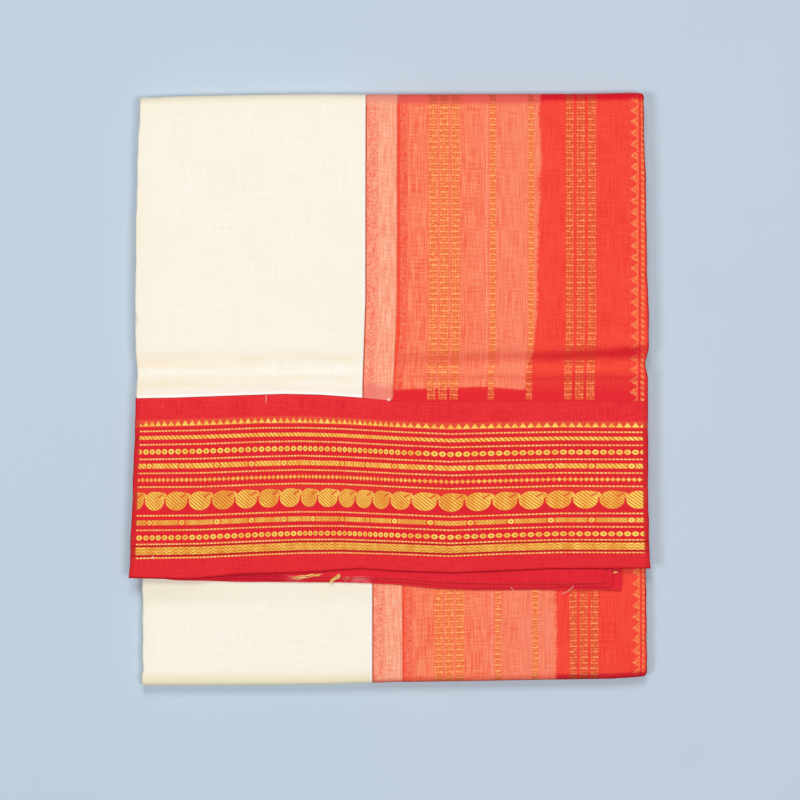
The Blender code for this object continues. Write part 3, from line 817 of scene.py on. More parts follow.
def pallu_cloth():
    """Sheer red and coral with slubs, brushed edge, beaded gold lines and temple points."""
    cloth = Finish("pallu_cloth", Specular_IOR_Level=0.12)
    u, v = cloth.place("woven")
    head, foot, end, side = map(cloth.mark, ("head", "foot", "end", "side"))
    coral_in, crease_shade_and_light = map(cloth.mark, ("coral", "crease_shading"))
    cloud = cloth.grain(u, v, 16.0, 34.0, start=4.0)
    bend = (cloud - 0.5) * 2.0
    warp = cloth.grain(u + bend, v, 0.85, 20.0)
    weft = cloth.grain(u, v + bend, 13.0, 0.85, start=12.0)
    slub = warp * 0.6 + weft * 0.4
    curl = (cloth.grain(u, v, 4.5, 4.0, start=44.0) - 0.5) * 7.0
    brush = cloth.grain(u, v + curl, 4.0, 0.9, start=8.0, detail=3.0)
    drift = cloth.grain(u, v, 80.0, 26.0, start=2.0)
    ragged = end.above(35.0, 40.0) * 0.8 + 0.2
    coral = (coral_in + ((brush - 0.5) * 5.0 + (drift - 0.5) * 4.0) * ragged).above(0.0, 1.6)

    red = cloth.mix(slub.above(0.5, 0.3), dye(238, 54, 45), dye(251, 80, 63))
    red = red.dyed((cloud.above(0.5, 0.4) * 0.4, 250, 79, 60))
    pale = cloth.mix(slub.above(0.5, 0.2), dye(243, 96, 66), dye(254, 144, 106))
    pale = pale.dyed(
        (cloud.above(0.52, 0.3) * 0.35, 251, 134, 100),
        (u.above(70.0, 40.0) * 0.25, 251, 148, 126),
    )
    frayed = u.within(5.0, 12.0, 1.6)
    pulled = u.within(66.4, 67.0, 0.5) * coral * weft.above(0.42, 0.3)
    ground = cloth.mix(coral, red, pale)
    ground = ground.dyed(
        (frayed * coral * 0.35, 248, 100, 76),
        (frayed * coral * brush.above(0.52, 0.2) * 0.9, 240, 78, 60),
        (u.within(4.6, 6.9, 0.7) * 0.8, 245, 68, 46),
        (pulled * 0.5, 255, 188, 166),
        (u.within(172.0, 172.9, 0.4) * 0.6, 226, 40, 44),
        (end.below(15.0, 20.0) * (1 - coral) * 0.9, 229, 33, 47),
    )

    lines, bright = beaded_gold(cloth, u, v)
    # Painted shade dulls the gold in the creases.
    bright = bright - crease_shade_and_light * 0.5
    lines = lines * end.above(1.2, 0.8)
    gold = cloth.mix(coral, dye(237, 97, 58), dye(247, 128, 75))
    lit_gold = cloth.mix(coral, dye(254, 156, 96), dye(255, 180, 110))
    shaded_gold = cloth.mix(coral, dye(214, 72, 42), dye(230, 102, 56))
    # Lit and shaded copies of the gold, mixed by the beads' painted highlight and shade.
    gold = cloth.mix(bright.above(0.62, 0.5), gold, lit_gold)
    gold = cloth.mix(bright.below(0.2, 0.4) * 0.8, gold, shaded_gold)

    point = ((v - TEMPLE_START) / TEMPLE_PITCH).ramp()
    wide = (u - TEMPLE_POINTS[0]) / (TEMPLE_POINTS[1] - TEMPLE_POINTS[0])
    strokes = (wide - point).within(0.02, 0.42, 0.16)
    flecks = cloth.grain(u, v, 1.0, 1.0, start=51.0)
    temple = strokes * (flecks.above(0.45, 0.22) * 0.6 + 0.4)
    temple = temple.most((wide - point).above(0.02, 0.14) * flecks.above(0.46, 0.24) * 0.85)
    temple = temple * u.within(*TEMPLE_POINTS, 0.5)
    base = u.within(170.6, 171.4, 0.4) * (v / BEAD_ROWS).stripe(0.2, 0.8, 0.3)
    twist = ((u * 0.5 + v) / TWIST_PITCH).stripe(0.18, 0.72, 0.3)
    twist = (twist * 0.9 + 0.06) * u.within(*TWISTED_LINE, 0.5)
    trim = temple.most(twist).most(base * 0.55)
    trim_gold = cloth.mix(cloth.grain(u, v, 1.5, 1.5, start=40.0).above(0.52, 0.3),
                          dye(244, 112, 60), dye(254, 168, 102))

    tone = cloth.mix(lines * 0.94, ground, gold)
    tone = cloth.mix(trim * 0.9, tone, trim_gold)
    # Painted shade in the creases and painted light on the ridges.
    tone = cloth.mix(crease_shade_and_light * 0.8, tone, cloth.mix(coral, dye(210, 18, 38), dye(230, 88, 70)))
    tone = cloth.mix(crease_shade_and_light * -0.6, tone, cloth.mix(coral, dye(253, 84, 62), dye(255, 142, 108)))
    # Deeper colour round the top fold: partly the sheer cloth lying double there, partly painted
    # shade.
    wear_and_shade = cloth.mix(coral, dye(218, 5, 37), dye(231, 89, 81))
    wear_and_shade = wear_and_shade.dyed((lines * 0.5, 184, 62, 44))
    tone = cloth.mix((head + (1 - coral) * 1.6).below(7.2, 3.0) * 0.9, tone, wear_and_shade)
    # Painted shade round the bottom fold, darkest in its last millimetre, and along the side fold's
    # edge.
    bottom_fold_shade = cloth.mix(coral, dye(204, 10, 40), dye(228, 66, 52))
    bottom_fold_shade = bottom_fold_shade.dyed((lines, 174, 50, 26))
    tone = cloth.mix(foot.below(4.2, 2.0) * (0.85 - coral * 0.5), tone, bottom_fold_shade)
    tone = tone.dyed(
        (foot.below(0.7, 0.7) * 0.6, 176, 14, 40),
        (side.below(1.1, 1.0) * 0.8, 186, 12, 24),
    )
    gilt = lines * bright.above(0.4, 0.6)
    cloth.drive(Base_Color=tone, Roughness=0.78 - gilt * 0.3, Metallic=gilt * 0.15)
    cloth.raise_by(yarns(u, v, pitch=0.4) * 0.35 + slub + lines * bright * 0.8, depth=0.12)
    return cloth.material


def add_end_piece():
    """The red stretch of the outermost ply, from under the join strip to the side fold."""
    left = seam_at(LEAF_ROWS, 2) - END_PIECE_TUCK
    right = side_at(LEAF_ROWS, 2)
    x, depth = leaf_grid(LEAF_ROWS, left, right, columns=78, turned_right=True)
    depth = depth + edge_ridge(x, left, reach=2.2, height=0.42)
    points = place_leaf(x, LEAF_ROWS, depth)
    along = path_lengths(points)
    u = woven_x(x, points[..., 1], LEAF_ROWS[:, None])
    marks = leaf_marks(points, along)
    marks["coral"] = coral_mark(u, points[..., 1], LEAF_ROWS[:, None])
    marks["side"] = right[:, None] - x
    piece = add_piece("end_piece", points, grid_faces(*x.shape), pallu_cloth(),
                      {"woven": (u, along)}, marks)
    give_thickness(piece, SHEET)
    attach(piece, "root")
    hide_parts("flap_pallu", "back_pallu", "lower_pallu")


add_end_piece()


# The border. Crimson silk, joined along the cloth's long side: rows of dots, ropes, rings and
# hatching woven in gold thread on both sides of a row of paisleys, a zigzag by the selvedge.

# Woven rows: how far from the join each lies in the cloth, and its y at ten places across
ROW_X = (-179.4, -131.1, -89.7, -62.1, -34.5, 6.9, 41.4, 75.9, 117.3, 179.4)
WOVEN_ROWS = (
    (19.3, -26.4, -25.3, -23.7, -23.6, -24.3, -26.6, -28.0, -27.2, -26.6, -26.9),
    (42.2, -49.4, -48.8, -47.4, -46.7, -47.4, -49.5, -50.9, -50.0, -49.2, -49.3),
    (61.3, -68.5, -68.2, -66.6, -65.9, -66.3, -68.3, -69.6, -68.7, -67.6, -68.0),
    (81.2, -88.3, -87.9, -86.2, -85.4, -85.6, -87.4, -88.9, -87.8, -86.5, -86.6),
    (110.4, -117.7, -116.9, -115.0, -113.9, -113.6, -114.8, -116.1, -114.6, -113.5, -113.7),
)
BORDER_DEPTH = 124.3

# Where each paisley begins across the border
PAISLEY_LEFT = (
    -185.3, -169.0, -155.0, -138.9, -122.8, -106.6, -90.8, -76.0, -61.4, -49.7, -35.3, -23.7,
    -11.9, 0.3, 14.9, 33.4, 51.9, 70.7, 88.9, 107.3, 126.3, 144.6, 163.0, 181.5,
)

# Rows of the pattern: how far from the join each lies, or where it starts and ends
DOT_ROWS = (23.1, 32.3, 42.2, 51.9, 61.3, 81.2, 91.2, 100.9, 110.4)
TEMPLE_ROW = (16.2, 19.7)
ROPE_ROW = (26.3, 28.9)
RING_ROWS = (37.2, 96.4)
HATCHED_ROWS = (46.95, 86.1)
BEAD_ROW = 56.5
PAISLEY_ROW = 71.1
PAISLEY_BAND = (62.4, 80.0)
ZIGZAG_ROW = (102.9, 108.2)

# Pitch of the small rings and of the medallions, counted in paisleys, and of the chevrons, in
# millimetres; the unit in which a paisley is drawn, and how many of it one takes up
RING_PITCH = 0.3
MEDAL_PITCH = 1.5
CHEVRON_PITCH = 2.15
PAISLEY_UNIT = 0.69
PAISLEY_UNITS = 23.5

# How deep the border sinks under the cream, and how far its selvedge droops over which reach
BORDER_SINK = 0.42
BORDER_DROOP = 0.55
DROOP_REACH = 2.5


def border_y(x, v):
    """y of the woven rows at x: straight between the measured rows, v from the join."""
    lines = [border_join(x)]
    lines += [np.interp(x, ROW_X, row[1:]) for row in WOVEN_ROWS]
    lines += [selvedge(x)]
    depths = [0.0, *(row[0] for row in WOVEN_ROWS), BORDER_DEPTH]
    y = np.zeros(x.shape)
    for (near, far), (first, last) in zip(zip(depths, depths[1:]), zip(lines, lines[1:])):
        share = (v - near) / (far - near)
        y = np.where((v >= near) & (v <= far), first + (last - first) * share, y)
    return y


def oval(x, y, wide, high):
    """x^2 / wide + y^2 / high, which is 1 on an oval's outline and less inside it."""
    return x * x / wide + y * y / high


def border_silk():
    """Crimson silk with its gold rows. u counts paisleys across and v is in millimetres
    from the join. Each row has two masks: where gold covers the silk, and where it is lit."""
    silk = Finish("border_silk", Specular_IOR_Level=0.15)
    u, v = silk.place("motif")
    x, y = silk.place("cloth")
    side = silk.mark("side")

    cloud = silk.grain(x, y, 22.0, 16.0, start=3.0)
    bend = (cloud - 0.5) * 5.0
    warp = silk.grain(x + bend, y, 0.9, 12.0)
    weft = silk.grain(x, y + bend, 14.0, 0.9, start=6.0)
    slub = (warp + weft) * 0.5
    # Painted shadow along the join, where the cream's edge stands over the border, strongest on the
    # left.
    shadow_under_join = v.below(0.5, 0.5) * (x.below(-17.0, 3.0) * 0.5 + 0.1)
    ground = silk.mix(slub.above(0.5, 0.3), dye(222, 23, 38), dye(239, 49, 53))
    ground = ground.dyed(
        (cloud.above(0.55, 0.3) * 0.4, 236, 46, 50),
        (v.within(20.5, 112.0, 1.0) * 0.7, 219, 18, 38),
        (v.above(112.0, 3.0) * 0.35, 222, 26, 42),
        (v.within(62.4, 72.5, 1.6) * 0.7, 230, 54, 42),
        (v.within(15.2, 20.2, 0.8) * 0.55, 232, 92, 56),
        (shadow_under_join, 160, 6, 34),
        (v.within(101.7, 102.6, 0.4) * 0.85, 166, 4, 16),
        (v.within(108.3, 109.2, 0.4) * 0.85, 166, 4, 16),
    )

    drop = (u * (2 / RING_PITCH)).ramp().below(0.56, 0.6)
    line = sum(v.within(row - 0.5, row + 0.5, 0.55) for row in DOT_ROWS)
    cover = line * (drop * 0.45 + 0.55)
    lit = line * (drop * 0.75 + 0.25)

    ring_off = abs(v - RING_ROWS[0]).least(abs(v - RING_ROWS[1]))
    round_off = oval((u / RING_PITCH).cell(4.7), ring_off, 3.9, 3.2)
    rings = round_off.below(1.0, 0.45)
    eyes = round_off.below(0.2, 0.2)
    cover = cover + rings.most(ring_off.below(0.4, 0.5) * 0.7)
    lit = lit + rings * 0.9

    upper, lower = abs(v - HATCHED_ROWS[0]), abs(v - HATCHED_ROWS[1])
    hatch_off = upper.least(lower)
    wide = (u * 5.8 - v * 0.33).stripe(0.16, 0.78, 0.34) * upper.below(2.4, 0.2)
    narrow = (u * 7.4 - v * 0.42).stripe(0.2, 0.76, 0.4) * lower.below(2.4, 0.2)
    strokes = (wide + narrow * 0.8) * hatch_off.below(1.8, 0.4)
    medal_place = ((u - 1.2) / MEDAL_PITCH + 0.5).cell(MEDAL_PITCH * 15.7)
    medal_off = oval(medal_place, hatch_off, 4.2, 3.2)
    medal = medal_off.below(1.0, 0.3)
    clear = medal_off.above(1.7, 0.4)
    hatched = hatch_off.below(1.75, 0.4) * clear
    cover = cover + hatched * 0.94 + medal
    lit = lit + strokes * clear + medal * 0.85
    eyes = eyes.most(medal_off.below(0.14, 0.12))

    rope_row = v.within(*ROPE_ROW, 0.5)
    twist = (u * 5.4 - v * 0.34).stripe(0.14, 0.76, 0.3)
    cover = cover + rope_row * (twist * 0.35 + 0.65)
    lit = lit + rope_row * twist

    bead_rise = abs(v - BEAD_ROW)
    beads = ((abs((u * 5).cell(3.2)) + bead_rise) * 0.62).below(1.0, 0.8)
    cover = cover + beads.most(bead_rise.below(0.5, 0.6) * 0.7)
    lit = lit + beads * 0.6

    point = (u / RING_PITCH).ramp()
    rise = (v - TEMPLE_ROW[0]) / (TEMPLE_ROW[1] - TEMPLE_ROW[0])
    temple = (rise * 0.85 + 0.1 - point).above(0.0, 0.35) * v.within(*TEMPLE_ROW, 0.5)
    temple = temple.most(v.within(TEMPLE_ROW[1] - 0.4, TEMPLE_ROW[1] + 0.1, 0.5) * 0.7)
    cover = cover + temple
    lit = lit + temple * (rise.above(0.6, 0.5) * 0.35 + 0.6)

    broken = silk.grain(x, y, 9.0, 5.0, start=61.0)
    swing = (u - 0.06).wave(0.5) * 1.2 + 0.6
    chevron = ((v - swing) / CHEVRON_PITCH).stripe(0.16, 0.66, 0.34)
    zig_row = v.within(*ZIGZAG_ROW, 0.4)
    cover = cover + zig_row
    lit = lit + zig_row * (chevron * (broken.above(0.45, 0.4) * 0.45 + 0.42) + 0.04)

    px = u.fraction() * PAISLEY_UNITS
    py = (PAISLEY_ROW - v) / PAISLEY_UNIT
    body = oval(px - 11.0, py, 11.0 ** 2, 9.5 ** 2)
    tip = ((u - 0.12).fraction() + 0.12) * PAISLEY_UNITS
    neck = oval(tip - 15.6, py - 6.4, 4.4 ** 2, 2.7 ** 2)
    curl = oval(tip - 20.2, py - 5.2, 4.9 ** 2, 3.3 ** 2)
    head = curl.below(1.0, 0.3)
    groove = abs(py - tip * 0.74 + 8.2).below(0.7, 0.7) * tip.within(15.6, 21.4, 1.2)
    paisley = body.below(1.0, 0.14).most(neck.below(1.0, 0.3)).most(head)
    hook = curl.within(0.55, 1.0, 0.3) * tip.above(17.5, 1.5)
    rim = body.within(0.87, 1.0, 0.14).most(hook * 1.4)
    veins = ((px + py * 1.15) / 4.0).stripe(0.24, 0.74, 0.34) * (1 - head)
    turn = (u.floor() - 0.475).wave(2.1)
    cover = cover + paisley * (1 - groove * 0.85)
    lit = lit + paisley * (1 - groove) * (veins * 0.8).most(rim * 0.6).most(head * 0.35)

    # Where the border turns down round the side folds its gold fades, and painted shade darkens the
    # gold and the red.
    turned = side.below(3.7, 1.0)
    cover = cover.least(1.0) * (1 - turned * 0.7)
    lit = lit * (1 - turned)
    # Painted highlights on the gold: shine, glint and glow from noise, stronger near the right side,
    # pink or yellow on the dots, with sparks on some dots.
    shine = silk.grain(x, y, 6.0, 26.0, start=14.0)
    glint = silk.grain(x, y, 1.3, 1.0, start=25.0)
    glow = shine * 1.2 + glint + x.above(163.2, 0.6) * 0.3 - 0.5
    paisleys = v.within(*PAISLEY_BAND, 0.8)
    glow = glow + turn * paisleys * 0.16
    broad = paisleys.most(zig_row).most(hatched).most(rope_row).most(temple)
    pinkish = silk.grain(x, y, 30.0, 7.0, start=71.0).above(0.52, 0.1)
    spark = silk.grain(x, y, 5.0, 12.0, start=81.0).above(0.54, 0.16)
    deep = silk.mix(broad, dye(229, 92, 44), dye(207, 112, 26))
    metal = silk.mix(lit.least(1.0), deep, dye(249, 178, 68))
    metal = metal.dyed(
        (lit * glow.above(0.6, 0.5), 255, 228, 108),
        (line * lit * pinkish * 0.75, 255, 178, 118),
        (line * lit * (1 - pinkish) * 0.65, 252, 216, 106),
        (line * drop * spark * 0.65, 255, 244, 176),
        (turned, 156, 62, 20),
    )
    tone = silk.mix(cover * 0.96, ground, metal)
    tone = tone.dyed(
        (eyes * cover * 0.8, 172, 116, 24),
        # Painted shade where the border turns round the side folds, darkest at the very edge.
        (turned * 0.3, 190, 16, 32),
        (side.below(0.9, 1.2) * 0.5, 176, 10, 26),
        (v.above(BORDER_DEPTH - 1.1, 0.8) * 0.55, 182, 4, 34),
    )
    silk.drive(Base_Color=tone, Roughness=0.62 - cover * 0.18, Metallic=cover * 0.15)
    threads = y.wave(0.7) * 0.15
    silk.raise_by(threads + slub * 0.8 + cover * (0.6 + glint * 0.5), depth=0.12)
    return silk.material


def add_border():
    """The border, from just under the cream's lower edge to the free selvedge, whose last
    millimetres droop a little on to the plies below."""
    v = np.concatenate(((0.0, 0.15), np.linspace(0.9, BORDER_DEPTH, 96)))[::-1]
    middle_y = border_y(np.zeros_like(v), v)
    left, right = across_at(FLAP_SIDES, middle_y, 1), across_at(FLAP_SIDES, middle_y, 2)
    x, depth = leaf_grid(v / STATION_LENGTH, left, right, columns=210,
                         turned_left=True, turned_right=True)
    v_grid = np.broadcast_to(v[:, None], x.shape)
    y = border_y(x, v_grid)
    depth = depth + BORDER_SINK * np.exp(-((v_grid / 1.8) ** 2)) * (x < 2.5)
    depth = depth + BORDER_DROOP * np.clip(1 - (BORDER_DEPTH - v_grid) / DROOP_REACH, 0, 1) ** 2
    z = FLAP_TOP - depth + wrinkled(x, y, TOP_WRINKLES)
    y = y + STRIP_TUCK * (v_grid == 0.0) * (x < 2.0)
    points = np.stack((x, y, z * swell(x, y)), axis=-1)
    u = np.interp(x, PAISLEY_LEFT, np.arange(len(PAISLEY_LEFT)))
    side = np.minimum(x - left[:, None], right[:, None] - x)
    piece = add_piece("border", points, grid_faces(*x.shape), border_silk(),
                      {"cloth": (x, v_grid), "motif": (u, v_grid)}, {"side": side})
    give_thickness(piece, SHEET)
    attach(piece, "root")
    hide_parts("flap_border")


add_border()


# The layers inside. All plies of cotton and silk between the outermost one and the middle of
# the pack, pressed together: at both sides each pair of plies is one rounded fold, and the
# folds lie unevenly.

HAIRPINS = 4
HAIRPIN_TOP = 2.42
HAIRPIN_PITCH = 0.61
HAIRPIN_HALF = 0.285
HAIRPIN_REACH = 11.0
NOSE_ANGLES = np.radians((-90, -55, -20, 20, 55, 90))
CORE_INSET = 7.0
CORE_ACROSS = np.array((0, 0.25, 0.5, 0.75, 1, 1, 0.75, 0.5, 0.25, 0))
CORE_DEPTHS = np.repeat((0.6, 4.8), 5)
HIDDEN_ROWS = np.concatenate((
    np.linspace(0.26, 1.0, 26)[:-1], np.linspace(1.0, 2.0, 60)[:-1], np.linspace(2.0, 3.0, 12)[:-1],
    np.linspace(3.0, 4.0, 80)[:-1], np.linspace(4.0, 5.0, 10)[:-1], np.linspace(5.0, 6.0, 26)[:-1],
    np.linspace(6.0, 6.999, 60),
))


def hidden_cotton():
    """Edges of cream, coral and red plies, with fine lines along each fold."""
    cloth = Finish("hidden_cotton", Roughness=0.85, Specular_IOR_Level=0.1)
    u, v = cloth.place("cloth")
    colour = cloth.mark("dye")
    streak = cloth.grain(u, v, 0.5, 26.0)
    cream = cloth.mix(streak.above(0.5, 0.3), dye(238, 228, 206), dye(252, 246, 232))
    coral = cloth.mix(streak.above(0.5, 0.3), dye(244, 120, 92), dye(252, 150, 120))
    red = cloth.mix(streak.above(0.5, 0.3), dye(214, 34, 46), dye(236, 56, 56))
    tone = cloth.mix(colour.above(0.5, 0.4), cream, coral)
    tone = cloth.mix(colour.above(1.5, 0.4), tone, red)
    cloth.drive(Base_Color=tone)
    cloth.raise_by(streak + yarns(u, v, pitch=0.35) * 0.3, depth=0.12)
    return cloth.material


def hairpin(number, side):
    """One folded edge, swept along the leaf: a ring of a round nose and two long flanks.
    Its inset wanders as a sum of sines, unlike its neighbours'."""
    start = 1.3 * number + (4.0 if side > 0 else 0.0)
    along = HIDDEN_ROWS * STATION_LENGTH
    inset = 0.55 + 0.5 * np.sin(1.9 * start) + 0.35 * np.sin(along / 41.0 + start)
    inset = inset + 0.22 * np.sin(along / 13.0 + 2.3 * start) + 0.12 * np.sin(along / 4.7 + start)
    inset = np.maximum(inset, 0.05) + 0.25
    middle = HAIRPIN_TOP + HAIRPIN_HALF + HAIRPIN_PITCH * number + 0.04 * np.sin(along / 19 + start)
    nose = HAIRPIN_HALF * (1 - np.cos(NOSE_ANGLES))
    inward = np.concatenate(((HAIRPIN_REACH,), nose, (HAIRPIN_REACH,)))
    deep = HAIRPIN_HALF * np.concatenate(((-1.0,), np.sin(NOSE_ANGLES), (1.0,)))
    edge = side_at(HIDDEN_ROWS, 2 if side > 0 else 1)
    x = edge[:, None] - side * (inset[:, None] + inward)
    depth = middle[:, None] + deep
    return x, depth


def core():
    """The squeezed middle of the leaf: a plain flat band inside the folded edges."""
    left = side_at(HIDDEN_ROWS, 1) + CORE_INSET
    right = side_at(HIDDEN_ROWS, 2) - CORE_INSET
    x = left[:, None] + (right - left)[:, None] * CORE_ACROSS
    return x, np.broadcast_to(CORE_DEPTHS, x.shape)


def ring_faces(rows, columns, start):
    """Quads of a tube of closed rings, and a cap of one face at each end."""
    ring = np.arange(rows - 1)[:, None] * columns + start
    here = np.arange(columns)
    after = (here + 1) % columns
    quads = np.stack((ring + here, ring + after, ring + columns + after, ring + columns + here),
                     axis=-1).reshape(-1, 4).tolist()
    last = start + (rows - 1) * columns
    return quads + [(here + start).tolist(), (here[::-1] + last).tolist()]


def hidden_dye(number, side, station, x):
    """Red where the plies are border, coral or red beside the end piece, else cream."""
    inner = (2.0, 1.0, 0.0, 0.0)[number] if side > 0 else 0.0
    return np.broadcast_to(np.where(station < 1.0, 2.0, inner), x.shape)


def add_solid_piece(name, points, faces, material, maps, marks, weld=0.0):
    """Adds a closed piece, its faces turned outwards, with points this near made one."""
    piece = add_piece(name, points, faces, material, maps, marks)
    solid = bmesh.new()
    solid.from_mesh(piece.data)
    if weld:
        bmesh.ops.remove_doubles(solid, verts=solid.verts, dist=weld * MM)
    bmesh.ops.recalc_face_normals(solid, faces=solid.faces)
    solid.to_mesh(piece.data)
    solid.free()
    return piece


def add_hidden_layers():
    """All folded edges and the core as one piece."""
    station = HIDDEN_ROWS[:, None]
    points, faces, dyes, us, vs = [], [], [], [], []
    start = 0
    runs = [(number, side, hairpin(number, side)) for side in (-1, 1) for number in range(HAIRPINS)]
    runs.append((0, 0, core()))
    for number, side, (x, depth) in runs:
        y, z = letter(x, station, depth)
        points.append(np.stack((x, y, z * swell(x, y)), axis=-1).reshape(-1, 3))
        faces += ring_faces(*x.shape, start)
        start += x.size
        dyes.append(hidden_dye(number, side, station, x).ravel())
        us.append((depth * 4 + number * 7).ravel())
        vs.append(np.broadcast_to(station * STATION_LENGTH, x.shape).ravel())
    piece = add_solid_piece("hidden_edges", np.concatenate(points), faces, hidden_cotton(),
                            {"cloth": (np.concatenate(us), np.concatenate(vs))},
                            {"dye": np.concatenate(dyes)})
    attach(piece, "root")
    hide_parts("hidden_layers")


add_hidden_layers()


# The loose plies. Below the border the free ends of three more plies of crimson silk show,
# each a few thin sheets whose selvedges lie one past the other, with a cut corner on the
# right. They are held only by the folds.

# Free edge of each ply, first ply uppermost: its y at these x, then its cut corner's x and y
PLY_EDGE_X = (-181.0, -150.0, -75.0, -14.0, 7.0, 32.0, 56.0)
PLY_EDGE_Y = (
    (-128.0, -129.4, -130.0, -131.0, -132.0, -134.2, -135.3),
    (-128.6, -130.8, -132.2, -133.1, -134.2, -136.4, -137.8),
    (-129.2, -132.9, -134.4, -135.1, -136.3, -138.5, -140.0),
)
PLY_CORNERS = ((148.6, -135.0), (153.5, -137.6), (160.2, -140.0))
PLY_PITCH = 1.3
PLY_SHEETS = 3
PLY_SHEET = 0.28
PLY_GAP = 0.04
PLY_STAGGER = 0.45
PLY_DROOP = 0.25
PLY_BACK = -97.0
PLY_NOSE = 0.5
PLY_SIDE_Y = -115.0

# How far in from the side folds each ply lies: left, right
PLY_INSETS = ((1.3, 1.3), (0.2, 1.1), (1.4, 0.3))


def ply_silk():
    """Plain crimson silk, paler along the free edge, with whitish patches of wear."""
    silk = Finish("ply_silk", Roughness=0.6, Specular_IOR_Level=0.15)
    u, v = silk.place("cloth")
    edge = silk.mark("edge")
    slub = (silk.grain(u, v, 0.9, 20.0) + silk.grain(u, v, 30.0, 0.8, start=6.0)) * 0.5
    wear_and_shade = u.within(-70.0, -62.0, 8.0) * 0.6 + u.within(-26.0, -15.0, 6.0)
    wear_and_shade = wear_and_shade * silk.grain(u, v, 9.0, 0.9, start=11.0).above(0.46, 0.3) * v.below(-130.6, 2.0)
    tone = silk.mix(slub.above(0.5, 0.3), dye(219, 18, 42), dye(233, 33, 49))
    tone = tone.dyed(
        (edge.below(0.8, 0.5) * 0.5, 244, 66, 68),
        (u.within(-122.0, -72.0, 12.0) * 0.6, 206, 0, 42),
        (wear_and_shade * edge.below(3.2, 2.0) * 0.6, 250, 156, 158),
    )
    silk.drive(Base_Color=tone)
    silk.raise_by(slub + v.wave(0.7) * 0.15, depth=0.1)
    return silk.material


def ply_sheet(number, sheet):
    """Grid of one thin sheet of a ply: x across, rows from the hidden step to its free
    edge, which waves a little past or short of its neighbours'. Beyond its cut corner the
    edge stays under the border."""
    corner_x, corner_y = PLY_CORNERS[number]
    edge_x = (*PLY_EDGE_X, corner_x, corner_x + 0.6, 181.0)
    edge_y = (*PLY_EDGE_Y[number], corner_y, number - 119.0, number - 118.0)
    left = across_at(FLAP_SIDES, PLY_SIDE_Y, 1) + PLY_INSETS[number][0] + PLY_NOSE
    right = across_at(FLAP_SIDES, PLY_SIDE_Y, 2) - PLY_INSETS[number][1] - PLY_NOSE
    by_corner = corner_x + np.array((-0.3, 0, 0.3, 0.6, 0.9))
    x = np.unique(np.concatenate((np.linspace(left, right, 110), by_corner)))
    phase = 1.7 * number + 2.9 * sheet
    wander = 0.25 * np.sin(x / 23.0 + phase) + 0.12 * np.sin(x / 7.0 + 2 * phase)
    edge_y = np.interp(x, edge_x, edge_y) + PLY_STAGGER * sheet + wander
    share = np.concatenate((np.linspace(0, 0.8, 5), (0.88, 0.94, 0.975, 1.0)))[::-1, None]
    y = PLY_BACK + (edge_y - PLY_BACK) * share
    droop = PLY_DROOP * np.clip((share - 0.9) / 0.1, 0, 1) ** 2
    depth = PLY_PITCH * (number + 1) + PLY_GAP / 2 + sheet * (PLY_SHEET + PLY_GAP) + droop
    x = np.broadcast_to(x, y.shape)
    z = (FLAP_TOP - depth) * swell(x, y)
    return np.stack((x, y, z), axis=-1), y - edge_y


def add_ply(number, material):
    """One ply of three sheets, in one piece."""
    grids = [ply_sheet(number, sheet) for sheet in range(PLY_SHEETS)]
    points = np.concatenate([grid.reshape(-1, 3) for grid, _ in grids])
    edge = np.concatenate([mark.ravel() for _, mark in grids])
    rows, columns = grids[0][1].shape
    faces = []
    for sheet in range(PLY_SHEETS):
        faces += grid_faces(rows, columns, sheet * rows * columns)
    piece = add_piece(f"loose_ply_{number + 1}", points, faces, material,
                      {"cloth": (points[:, 0], points[:, 1])}, {"edge": edge})
    give_thickness(piece, PLY_SHEET)
    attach(piece, "root")
    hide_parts(f"selvedge_ply_{number + 1}")


ply_finish = ply_silk()
for ply_number in range(len(PLY_CORNERS)):
    add_ply(ply_number, ply_finish)


# Thread ends. The trimmed ends of the join's threads curl on the strip and on the end
# piece's first centimetre; gold ends stick out under the border, and a few threads lie loose.

# Fringes: third, y from, y to, x of the roots' seam column, offset, length, count
FRINGES = (
    ("flap", 2.0, 196.0, 1, 0.6, 6.0, 150), ("flap", 6.0, 196.0, 2, 1.6, 4.6, 120),
    ("lower", -198.0, -141.0, 1, 2.4, 6.0, 44), ("lower", -198.0, -143.0, 2, 1.2, 5.6, 40),
)

# Tufts of thread ends: x, y of the roots' middle and of the tips' middle, spread of the roots
# along the tuft, spread sideways at root and tip, length, count
CORAL_TUFTS = (
    (-31.5, -133.0, -27.5, -129.8, 0.8, 1.8, 1.4, 4.5, 7),
    (-65.5, -131.2, -71.5, -130.0, 1.5, 0.8, 1.3, 4.5, 6),
)
GOLD_TUFTS = (
    (-52.5, -129.2, -65.0, -131.3, 6.5, 0.8, 1.3, 9.0, 19),
    (-34.8, -129.2, -42.2, -134.9, 0.8, 1.5, 0.6, 9.5, 15),
    (154.2, -127.3, 157.4, -127.3, 0.1, 0.3, 0.25, 3.2, 6),
)

